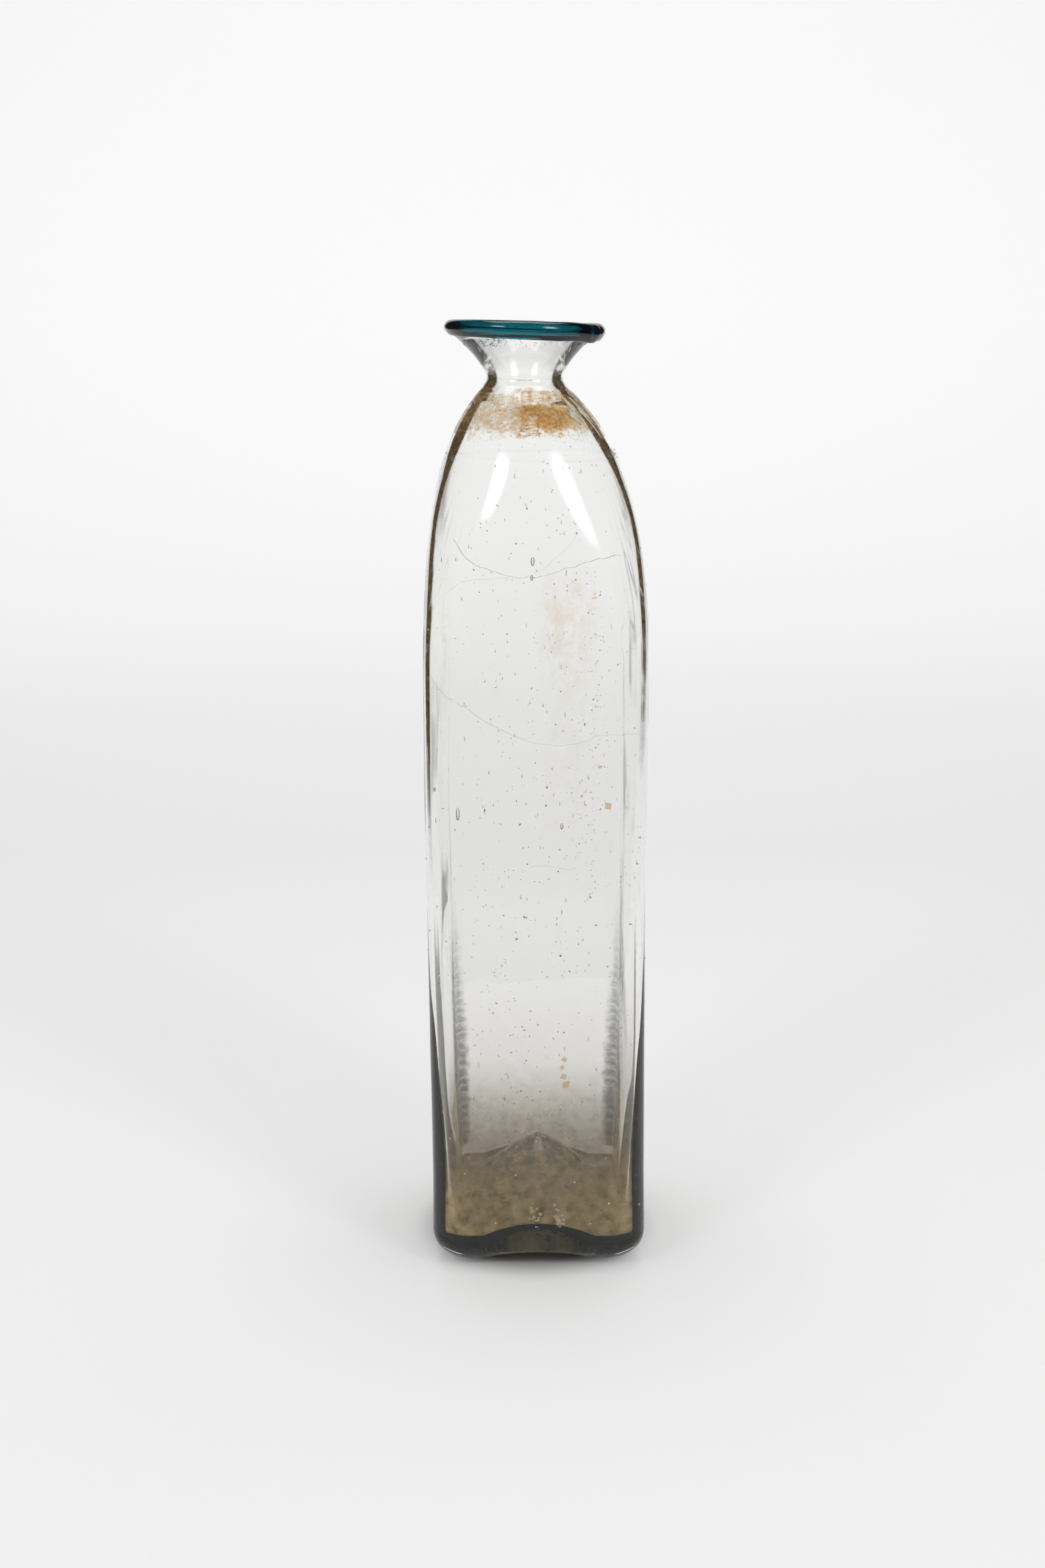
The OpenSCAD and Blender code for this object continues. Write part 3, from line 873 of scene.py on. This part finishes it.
def wall_dirt():
    """Brown matter on the inside under the shoulder, thin face on and dark where it is seen edge on."""

    def alpha(nodes):
        rise = nodes.along(nodes.z, 190, 222, 0.0, 0.90)
        left = nodes.along(nodes.x, 10, -10, 0.65, 1.0)
        fine = nodes.ramp(nodes.noise(2.2, 8.0, (1, 1, 3.0), 0.75), 0.36, 0.60, 0.30, 1.0)
        return nodes.times(nodes.edge_on(0.62, 0.93), nodes.times(rise, left, fine))

    brown_layer = film_object("wall_dirt", inner_skin(np.linspace(188.0, INSIDE_TOP, 110)), 0.09, 0.03)
    piece(brown_layer, dirt_and_painted_light_material("wall_dirt", BROWN_SOIL, 1.5, alpha, 0.5, through=0.3))


def rim_ticks():
    """Short dark scratches with soil in them, under the lip thread."""
    r = np.random.default_rng(77)
    n = 150
    turn = np.radians(np.where(r.random(n) < 0.55, r.normal(-122, 12, n), r.normal(-85, 60, n)))
    spots, ways = [], []
    for a, share in zip(turn, r.uniform(0.76, 0.97, n)):
        rad = flare_r(share) + 0.03
        z = NECK_Z + (FLARE_TOP - NECK_Z) * share
        spots.append([AXIS_X + rad * math.cos(a), rad * math.sin(a), z])
        ways.append([math.cos(a), math.sin(a), -0.9])
    sizes = r.uniform(0.05, 0.10, n)
    ticks = grains_object("rim_scratches", spots, ways, sizes, 0.5, r.uniform(3, 14, n), 78)
    shades = (0.04, 0.03, 0.02), (0.14, 0.10, 0.06)
    piece(ticks, dirt_and_painted_light_material("scratch_soil", shades, 0.5))


def neck_dark_film():
    """Dark brown film inside the neck, at its two sides, running down into the shoulder."""
    profile = [tuple(p) for p in bore_fillet()[::-1]]
    for z in np.linspace(BORE_BOTTOM + 1.4, BORE_TOP + 2.6, 30):
        profile.append((BORE_R if z < BORE_TOP else mouth_r((z - BORE_TOP) / (FLARE_TOP - BORE_TOP)), z))

    def skin(off):
        return np.array([neck_ring(r + off, z) for r, z in profile])

    def alpha(nodes):
        patch = nodes.noise(1.5, 8.0, (1, 1, 2.4), 0.75)
        aside = nodes.math("ABSOLUTE", nodes.plus(nodes.x, NECK_LEAN * MM))
        square = nodes.plus(nodes.math("POWER", aside, 2.0), nodes.math("POWER", nodes.y, 2.0))
        share = nodes.math("DIVIDE", aside, nodes.math("POWER", square, 0.5))
        place = nodes.times(nodes.ramp(share, 0.80, 0.87), nodes.along(nodes.y, 0, -1))
        ragged = nodes.plus(nodes.z, nodes.swing(patch, 12.0))
        fade = nodes.along(ragged, NECK_Z + 3.2, NECK_Z + 1.0, 0.0, 0.92)
        ends = nodes.along(nodes.z, UNDER_BORE, UNDER_BORE + 1.2)
        return nodes.times(fade, place, nodes.times(nodes.ramp(patch, 0.34, 0.54, 0.35, 1.0), ends))

    brown_layer = film_object("neck_dark_film", skin, 0.28, 0.18)
    shades = (0.08, 0.05, 0.025), (0.22, 0.15, 0.08), (0.42, 0.31, 0.18)
    piece(brown_layer, dirt_and_painted_light_material("neck_dark_film", shades, 1.0, alpha))


# ---------------- films inside the upright edges
def on_side(angles, side):
    """Angles on the left of the body, or their mirror image where side is 1, for the right."""
    return math.pi - angles[::-1] if side > 0 else angles


def seen_at(z, inset):
    """Angle around the body where a film inside the left front edge shows at an inset from the outline.
    The glass bends the light, so the place is worked out from the turn of the inner corner arc."""
    up = smooth((z - 170.0) / 30.0)
    bend = (24.4 - 7.4 * up) * inset ** (0.65 - 0.11 * up) - 24.5 * math.exp(-(z - 15.0) / 24.0)
    w = half_at(z) - wall_at(z)
    r = INNER_EDGE_R + (w - INNER_EDGE_R) * roundness(z)
    turn = math.radians(bend)
    return 180.0 + math.degrees(math.atan2(w - r + r * math.sin(turn), w - r + r * math.cos(turn)))


# the black painted shade inside the front edges: where it ends, and where it fades out
EDGE_SHADE_TOP, EDGE_SHADE_FADE = 103.0, (100.0, 76.0)


def edge_shade_angles(z, side):
    """Angles of the black painted shade, which reaches far out of the edge at the foot."""
    reach = 0.02 + 3.6 * smooth((104.0 - z) / 82.0) ** 1.5
    start = 3.0 + 6.0 * smooth((60.0 - z) / 40.0)
    return on_side(np.radians(np.linspace(seen_at(z, 0.0) - start, seen_at(z, reach), 26)), side)


def edge_painted_shade(name, side):
    """Black film in contact with the glass inside a front edge, painted shade of the dark edge of the thick
    glass, narrowing as it climbs from the foot.
    """
    foot = FLOOR_T + INNER_HEEL_R + 0.4
    heights = np.linspace(foot, EDGE_SHADE_TOP, 130)

    def skin(deep):
        grid = []
        for b in arc(30, 88, 12):
            row = floor_heel_ring(b, edge_shade_angles(foot, side))
            row[:, :2] *= 1 - deep * math.sin(b) / FLOOR_W
            row[:, 2] += deep * math.cos(b)
            grid.append(row)
        return np.array(grid + [inner_shoulder(z, deep, edge_shade_angles(z, side)) for z in heights])

    def alpha(nodes):
        # the painted shade is denser where the film is seen edge on
        denser = nodes.ramp(nodes.edge_on(0.04, 0.13), 0.0, 1.0, 0.40, 0.96)
        return nodes.times(nodes.along(nodes.z, *EDGE_SHADE_FADE), denser)

    shade_and_soil = film_object(name, skin, -0.24, -0.36, closed=False)
    piece(shade_and_soil, dirt_and_painted_light_material(name, PAINTED_SHADE_BLACK, 1.5, alpha))


def edge_line(name, side, bottom):
    """Line of brown soil in contact with the glass inside a front edge, wider and darker under the neck."""

    def skin(deep):
        grid = []
        for z in np.linspace(bottom, INSIDE_TOP, 190):
            half = 0.22 + 0.25 * smooth((z - bottom) / 50.0) + 0.85 * smooth((z - 208.0) / 16.0)
            middle = 1.25 + 0.55 * smooth((z - 200.0) / 22.0)
            angles = np.radians(np.linspace(seen_at(z, middle - half), seen_at(z, middle + half), 16))
            grid.append(inner_shoulder(z, deep, on_side(angles, side)))
        return np.array(grid)

    def alpha(nodes):
        patch = nodes.noise(1.6, 8.0, (1, 1, 4.0), 0.75)
        rise = nodes.along(nodes.z, bottom, bottom + 60, 0.0, 0.95)
        broken = nodes.ramp(patch, 0.36, 0.54, 0.25 if side < 0 else 0.10, 1.0)
        return nodes.times(rise, broken, nodes.along(nodes.z, INSIDE_TOP, INSIDE_TOP - 2))

    line = film_object(name, skin, -0.20, -0.28, closed=False)
    shades = (0.07, 0.04, 0.016), (0.20, 0.125, 0.055), (0.36, 0.25, 0.14)
    piece(line, dirt_and_painted_light_material(name, shades, 1.2, alpha))


def back_edge_band(name, side):
    """Grey-green film with fine level wrinkles inside a back edge, narrowing and fading as it climbs."""
    angles = on_side(arc(122.0, 142.0, 44), side)
    skin = inner_skin(np.linspace(12.0, 100.0, 160), angles)

    def alpha(nodes):
        fine = nodes.noise(0.9, 4.0, (5, 5, 0.9), 0.6)
        ripple = nodes.math("SINE", nodes.plus(nodes.times(nodes.z, 2300.0), nodes.times(fine, 5.0)))
        wrinkle = nodes.plus(nodes.times(ripple, 0.09), fine)
        out = nodes.times(nodes.math("SUBTRACT", nodes.x, 0.5 * MM), float(side))
        ragged = nodes.times(nodes.noise(2.4, 4.0), 3.0 * MM)
        reach = nodes.plus(out, ragged, nodes.times(nodes.along(nodes.z, 95, 20), 3.5 * MM))
        fade = nodes.along(nodes.z, 96, 30, 0.0, 0.55)
        edge = nodes.along(reach, 23.5, 26.2)
        return nodes.times(fade, edge, nodes.ramp(wrinkle, 0.30, 0.62, 0.55, 1.0))

    band = film_object(name, skin, -0.16, -0.22, closed=False)
    shades = (0.12, 0.125, 0.095), (0.24, 0.245, 0.20)
    piece(band, dirt_and_painted_light_material(name, shades, 0.8, alpha))


# ---------------- residues on the floor and the foot, with painted shade and painted glints there
def ring_normals(rows, up):
    """Unit normals of a stack of rings, turned so that they point up at the ring with the number up."""
    after, before = np.roll(rows, -1, axis=1), np.roll(rows, 1, axis=1)
    out = np.cross(after - before, np.gradient(rows, axis=0))
    out /= np.linalg.norm(out, axis=-1, keepdims=True)
    return -out if out[up, :, 2].mean() < 0 else out


def crust_alpha(nodes):
    """Dense on the floor and the kick, thin on the foot of the walls and thinning out as it climbs."""
    patch = nodes.noise(3.0, 8.0, rough=0.72)
    rise = nodes.times(nodes.along(nodes.z, 42, 9, 0.07, 0.66), nodes.along(nodes.z, 90, 30))
    wall = nodes.times(rise, nodes.ramp(patch, 0.34, 0.64, 0.86, 1.0))
    return nodes.math("MAXIMUM", wall, nodes.along(nodes.off_axis(), 23.5, 20.5, 0.0, 0.93))


def crust_tone_and_glints(nodes):
    """Darker near the middle of the floor, with painted glints there as paler patches."""
    far = nodes.off_axis()
    grain = nodes.plus(nodes.noise(3.2, 4.0, rough=0.55), nodes.along(far, 14.0, 20.5, -0.15, 0.05))
    # painted glints: paler patches near the middle of the floor
    painted_glints = nodes.ramp(nodes.noise(2.8, 5.0, (1.4, 1.4, 0.8)), 0.52, 0.66)
    return nodes.plus(grain, nodes.times(painted_glints, nodes.along(far, 18, 12), 0.30))


def floor_crust():
    """Dried matter in contact with the floor, the kick and the foot of the walls, over a black sheet of
    painted shade.
    """
    floor = [floor_ring(s) for s in np.linspace(0.05, 0.98, 80)]
    heel = [floor_heel_ring(b) for b in arc(0, 90, 24)]
    wall = [inner_shoulder(z) for z in np.linspace(FLOOR_T + INNER_HEEL_R + 0.3, 92.0, 90)]
    rows = np.array(floor + heel + wall)
    out = ring_normals(rows, 0)
    crust = film_object("floor_crust", lambda off: rows + off * out, -0.30, -0.22)
    shades = (0.13, 0.11, 0.05), (0.42, 0.32, 0.15), (0.66, 0.50, 0.26), (0.82, 0.57, 0.27)
    places = (0.28, 0.44, 0.62, 0.80)
    look = dirt_and_painted_light_material("floor_dirt_and_glints", shades, crust_tone_and_glints, crust_alpha, 0.5, through=0.2, places=places)
    piece(crust, look, "floor_crust")
    # painted shade: a black sheet under the crust on the floor, the kick and the foot of the walls
    foot = rows[:, 0, 2] < 13.0
    foot[:60] = True
    under = film_object("floor_painted_shade", lambda off: rows[foot] + off * out[foot], -0.52, -0.44)
    piece(under, dirt_and_painted_light_material("floor_painted_shade", PAINTED_SHADE_BLACK, 1.5))


def foot_soil_and_shade():
    """Soil worn into the underside of the foot, and painted shade: near black below for the dark band of
    the foot, olive and brown under the arch.
    """
    rows = [kick_ring(s) for s in np.linspace(0.55, 1, 30)]
    rows += [heel_ring(b) for b in arc(0, 52, 20)]
    rows = np.array(rows)
    inwards = ring_normals(rows, -1)

    def tone(nodes):
        arch = nodes.along(nodes.math("ABSOLUTE", nodes.x), 20, 1, 0.0, 0.32)
        return nodes.plus(nodes.noise(1.8, 6.0, (1.6, 1, 0.8), 0.7), arch)

    def alpha(nodes):
        return nodes.ramp(nodes.noise(2.4, 7.0, rough=0.7), 0.34, 0.56, 0.72, 1.0)

    shade_and_soil = film_object("foot_soil_and_shade", lambda off: rows + off * inwards, 0.20, 0.32)
    # the near black shade is painted shade of the dark foot band
    shades = (0.005, 0.006, 0.004), (0.05, 0.042, 0.018), (0.30, 0.23, 0.10)
    look = dirt_and_painted_light_material("foot_soil_and_shade", shades, tone, alpha, gloss=0.5, places=(0.40, 0.60, 0.80))
    piece(shade_and_soil, look)


# painted glints, as pale grains in the glass at the foot of the front wall: x and height
GLINTS = ((-1.4, 16.4), (0.2, 14.6), (6.2, 15.4), (7.8, 14.0))


def foot_glints():
    r = np.random.default_rng(63)
    places, sizes = [], []
    for x, z in GLINTS:
        for _ in range(9):
            here = r.normal(x, 0.7), max(r.normal(z, 1.0), 12.0)
            places.append(front_place(*here, wall_at(here[1]) - 0.48))
            sizes.append(r.uniform(0.2, 0.8))
    ways = np.tile([0.0, -1.0, 0.0], (len(places), 1))
    glints = grains_object("foot_glints", places, ways, sizes, 0.08, 1.0, 64)
    # pale shades of the painted glints
    shades = (0.62, 0.52, 0.25), (0.95, 0.90, 0.66)
    piece(glints, dirt_and_painted_light_material("foot_glints", shades, 0.8, 0.7))


def scatter(kinds, place, power, flat, longest, grain):
    """Grains of several kinds: name, count, seed, smallest and largest size, and shades. place draws where
    they lie and gives the way out of the surface at each."""
    for name, count, seed, small, large, shades in kinds:
        r = np.random.default_rng(seed)
        spots, ways = place(r, count)
        sizes = small + (large - small) * r.random(count) ** power
        grains = grains_object(name, spots, ways, sizes, flat, r.uniform(0.8, longest, count), seed)
        piece(grains, dirt_and_painted_light_material(name, shades, grain))


def floor_grains():
    """Orange crumbs and glinting grains on the floor and on the kick."""

    def place(r, count):
        shares = np.sqrt(r.random(count)) * 0.97
        turns = r.uniform(-math.pi, math.pi, count)
        spots = [floor_ring(s, 0.12, np.array([a]))[0] for s, a in zip(shares, turns)]
        return spots, np.tile([0.0, 0.0, 1.0], (count, 1))

    kinds = (
        ("orange_crumbs", 520, 51, 0.10, 0.42, ((0.30, 0.12, 0.02), (0.62, 0.33, 0.09))),
        ("white_crumbs", 380, 52, 0.08, 0.30, ((0.75, 0.72, 0.62), (0.95, 0.93, 0.88))),
    )
    scatter(kinds, place, 2, 0.5, 1.8, 0.4)


# ---------------- residues on the walls
def tan_patch():
    """Tan bloom down the right half of the front wall, densest under the upper crack."""
    skin = inner_skin(np.linspace(104, 198, 110), arc(-98, -52, 80))

    def alpha(nodes):
        patch = nodes.noise(4.0, 8.0, (1, 1, 1.5), 0.75)
        across = nodes.times(nodes.along(nodes.x, -1, 5), nodes.along(nodes.x, 17, 10))
        dense = nodes.times(nodes.along(nodes.z, 155, 172, 0.3, 1.0), nodes.along(nodes.z, 192, 182))
        place = nodes.times(across, dense, nodes.along(nodes.z, 106, 130))
        return nodes.times(place, nodes.ramp(patch, 0.38, 0.66, 0.0, 0.36))

    bloom = film_object("tan_bloom", skin, -0.25, -0.30, closed=False)
    shades = (0.88, 0.66, 0.44), (0.97, 0.82, 0.64)
    piece(bloom, dirt_and_painted_light_material("tan_bloom", shades, 1.0, alpha, 0.2, through=0.9))


# tan spots seen one by one on the front wall: x, height and radius
TAN_SPOTS = (
    (19.5, 129.2, 1.2),
    (8.2, 60.4, 1.1),
    (7.6, 58.0, 0.9),
    (8.0, 55.6, 1.3),
    (8.6, 53.2, 1.5),
    (17.2, 139.5, 0.6),
)
# and the small ones, most of them in a column
SMALL_SPOTS, COLUMN_X, SPOTS_RIGHT = 260, 15.3, 21.0


def tan_spots():
    """Flat tan and orange spots on the inside of the front wall, most of them in its right third."""
    r = np.random.default_rng(45)
    places = [front_place(x, z, wall_at(z) - 0.1) for x, z, _ in TAN_SPOTS]
    sizes = [size for _, _, size in TAN_SPOTS]
    for _ in range(SMALL_SPOTS):
        x, z = r.normal(COLUMN_X, 1.2 if r.random() < 0.65 else 4.0), r.uniform(104.0, 190.0)
        places.append(front_place(min(x, SPOTS_RIGHT), z, wall_at(z) - 0.1))
        sizes.append(0.08 + 0.24 * r.random() ** 2)
    count = len(sizes)
    ways = np.tile([0.0, -1.0, 0.0], (count, 1))
    spots = grains_object("tan_spots", places, ways, sizes, 0.1, r.uniform(0.8, 2.0, count), 46)
    shades = (0.80, 0.50, 0.24), (0.94, 0.74, 0.50)
    piece(spots, dirt_and_painted_light_material("tan_spots", shades, 0.6, 0.6, 0.3, through=0.7))


def specks():
    """Grains of soil and white dust on both sides of the walls, more and more of them towards the foot."""
    low, high, inside_share = 13.0, 231.0, 0.6

    def place(r, count):
        heights = low + (high - low) * r.random(count) ** 1.9
        turns = r.uniform(-math.pi, math.pi, count)
        spots, ways = [], []
        for z, a, hidden in zip(heights, turns, r.random(count) < inside_share):
            make = inner_shoulder if hidden else outer_shoulder
            here, out = (make(z, off, np.array([a]))[0] for off in (0.05, 0.6))
            spots.append(here)
            ways.append(out - here)
        return spots, ways

    kinds = (
        ("dark_specks", 1300, 40, 0.05, 0.20, ((0.03, 0.02, 0.012), (0.13, 0.075, 0.03))),
        ("tan_specks", 1100, 41, 0.06, 0.30, ((0.30, 0.15, 0.05), (0.55, 0.33, 0.14))),
        ("white_specks", 900, 42, 0.07, 0.34, ((0.70, 0.68, 0.62), (0.90, 0.89, 0.86))),
    )
    scatter(kinds, place, 3, 0.4, 2.4, 0.5)


# ---------------- build
CLEAR = glass_material("clear_glass", (0.99, 0.99, 0.985), (0.56, 0.55, 0.46), 15.0)
piece(vessel_mesh(), CLEAR, "vessel", slot="clear_glass")
TEAL = glass_material("teal_glass", (0.30, 0.85, 0.88), (0.0, 0.52, 0.57), 1050.0)
piece(thread_object(), TEAL, "rim_thread", slot="teal_glass")
SCAR = glass_material("scar_glass", (0.95, 0.96, 0.93), (0.48, 0.54, 0.46), 60.0, 0.18)
piece(scar_object(), SCAR, "pontil_scar", slot="scar_glass")
wall_dirt()
edge_line("left_edge_line", -1, 104.0)
edge_line("right_edge_line", 1, 132.0)
back_edge_band("left_edge_band", -1)
back_edge_band("right_edge_band", 1)
foot_soil_and_shade()
edge_painted_shade("left_edge_painted_shade", -1)
edge_painted_shade("right_edge_painted_shade", 1)
tan_patch()
tan_spots()
specks()
floor_grains()
foot_glints()
rim_ticks()
neck_dark_film()
shoulder_film()
ochre_flakes()
pale_flakes()
floor_crust()


# ---------------- stage
# the paper sweep in mm: half its width, front edge, wall, radius of the curve and top
SWEEP_HALF, SWEEP_FRONT, WALL_Y, SWEEP_BEND, SWEEP_TOP = 620.0, -260.0, 1300.0, 500.0, 1500.0
# glow of the paper on the floor and on the wall, and where it starts around the bottle and behind it
FLOOR_GLOW, WALL_GLOW = 0.32, 0.56
GLOW_AROUND, GLOW_BEHIND = (22.0, 36.0), 400.0
# the room as seen through glass, low and high, and as met by diffuse, mirrored and camera rays
ROOM_LOW, ROOM_HIGH = 0.70, 0.88
ROOM_FILL, ROOM_FRONT, ROOM_SEEN = (0.5, 0.5, 0.5, 1), (0.05, 0.05, 0.05, 1), (0.99, 0.99, 0.98, 1)
# soft boxes: name, place, width and height in mm, power in W, and whether they fade towards their edges
SOFT_BOXES = (
    ("box_left", (-540, -650, 770), (400, 360), 2.0, True),
    ("box_right", (510, -600, 740), (440, 500), 2.5, True),
    ("box_top", (0, 200, 1300), (900, 700), 5.6, False),
)
BOXES_AIM = (0, 0, 130)
# the camera that fits the photograph: lens and film in mm, place in mm, tilt down in degrees
LENS, FILM_WIDTH, CAMERA_AT, TILT = 44.0, 36.0, (-3.41, -501.5, 248.2), 13.43


def paper_material():
    """White paper that glows, more towards the wall and not at all under the bottle."""
    matt = {"Roughness": 1.0, "Specular IOR Level": 0.0}
    white = {"Base Color": (0.55, 0.55, 0.55, 1), "Emission Color": (1, 1, 1, 1)}
    mat, tree, shader = new_material("stage_paper", matt | white)
    nodes = Nodes(tree, "ShaderNodeNewGeometry", "Position")
    rise = nodes.along(nodes.y, GLOW_BEHIND, WALL_Y, FLOOR_GLOW, WALL_GLOW, kind="LINEAR")
    length = nodes.add("ShaderNodeVectorMath", nodes.place)
    length.operation = "LENGTH"
    around = nodes.along(length.outputs["Value"], *GLOW_AROUND)
    # the glow is seen, also through the glass, but doesn't light matt surfaces
    path = tree.nodes.new("ShaderNodeLightPath")
    seen = nodes.math("SUBTRACT", 1.0, path.outputs["Is Diffuse Ray"])
    nodes.put(shader.inputs["Emission Strength"], nodes.times(rise, around, seen))
    return mat


def sweep():
    """Floor, curve and wall in one sheet of paper."""
    start = WALL_Y - SWEEP_BEND
    profile = [(y, 0.0) for y in np.linspace(SWEEP_FRONT, start, 12)]
    for b in arc(5, 90, 18):
        profile.append((start + SWEEP_BEND * math.sin(b), SWEEP_BEND * (1 - math.cos(b))))
    profile.append((WALL_Y, SWEEP_TOP))
    pts = [(x, y, z) for y, z in profile for x in (-SWEEP_HALF, SWEEP_HALF)]
    faces = [[2 * i, 2 * i + 1, 2 * i + 3, 2 * i + 2] for i in range(len(profile) - 1)]
    floor = mesh_object("stage_sweep", pts, faces)
    floor.data.materials.append(paper_material())


def room(scene):
    """Light from all around, with a strength of its own for each kind of ray."""
    world = bpy.data.worlds.new("studio")
    scene.world = world
    world.use_nodes = True
    tree = world.node_tree
    nodes = Nodes(tree, "ShaderNodeTexCoord", "Generated")
    through = tree.nodes["Background"]
    nodes.put(through.inputs["Color"], (1, 1, 0.98, 1))
    rise = nodes.ramp(nodes.z, -0.1, 0.55, ROOM_LOW, ROOM_HIGH, "LINEAR")
    nodes.put(through.inputs["Strength"], rise)
    path = tree.nodes.new("ShaderNodeLightPath")
    fill, front, seen = (nodes.add("ShaderNodeBackground", c) for c in (ROOM_FILL, ROOM_FRONT, ROOM_SEEN))
    shader = front
    for ray, other in (("Diffuse", fill), ("Transmission", through), ("Camera", seen)):
        this_ray = path.outputs[f"Is {ray} Ray"]
        shader = nodes.add("ShaderNodeMixShader", this_ray, shader.outputs[0], other.outputs[0])
    nodes.put(tree.nodes["World Output"].inputs["Surface"], shader.outputs[0])


def soft_box(scene, name, where, size, power, fades):
    """A rectangular light that aims at the bottle, and may fade like the cloth of a soft box."""
    light = bpy.data.lights.new(name, "AREA")
    light.shape = "RECTANGLE"
    light.size, light.size_y = size[0] * MM, size[1] * MM
    light.energy = power
    if fades:
        light.use_nodes = True
        nodes = Nodes(light.node_tree, "ShaderNodeNewGeometry", "Parametric")
        shares = []
        for side in (nodes.x, nodes.y):
            off = nodes.math("ABSOLUTE", nodes.math("SUBTRACT", side, 0.5))
            shares.append(nodes.ramp(off, 0.5, 0.04, 0.0, 1.7))
        emission = next(node for node in light.node_tree.nodes if node.type == "EMISSION")
        nodes.put(emission.inputs["Strength"], nodes.times(*shares))
    obj = bpy.data.objects.new(name, light)
    scene.collection.objects.link(obj)
    obj.location = Vector(where) * MM
    obj.rotation_euler = (Vector(BOXES_AIM) * MM - obj.location).to_track_quat("-Z", "Y").to_euler()


def stage():
    scene = bpy.context.scene
    scene.view_settings.view_transform = "Standard"
    # light runs far inside thick glass
    scene.cycles.max_bounces = 20
    scene.cycles.glossy_bounces = 12
    scene.cycles.transmission_bounces = 18
    scene.cycles.transparent_max_bounces = 24
    sweep()
    room(scene)
    for box in SOFT_BOXES:
        soft_box(scene, *box)

    cam_data = bpy.data.cameras.new("camera")
    cam_data.lens, cam_data.sensor_width = LENS, FILM_WIDTH
    cam = bpy.data.objects.new("camera", cam_data)
    scene.collection.objects.link(cam)
    cam.location = Vector(CAMERA_AT) * MM
    cam.rotation_euler = (math.radians(90 - TILT), 0, 0)
    scene.camera = cam


stage()
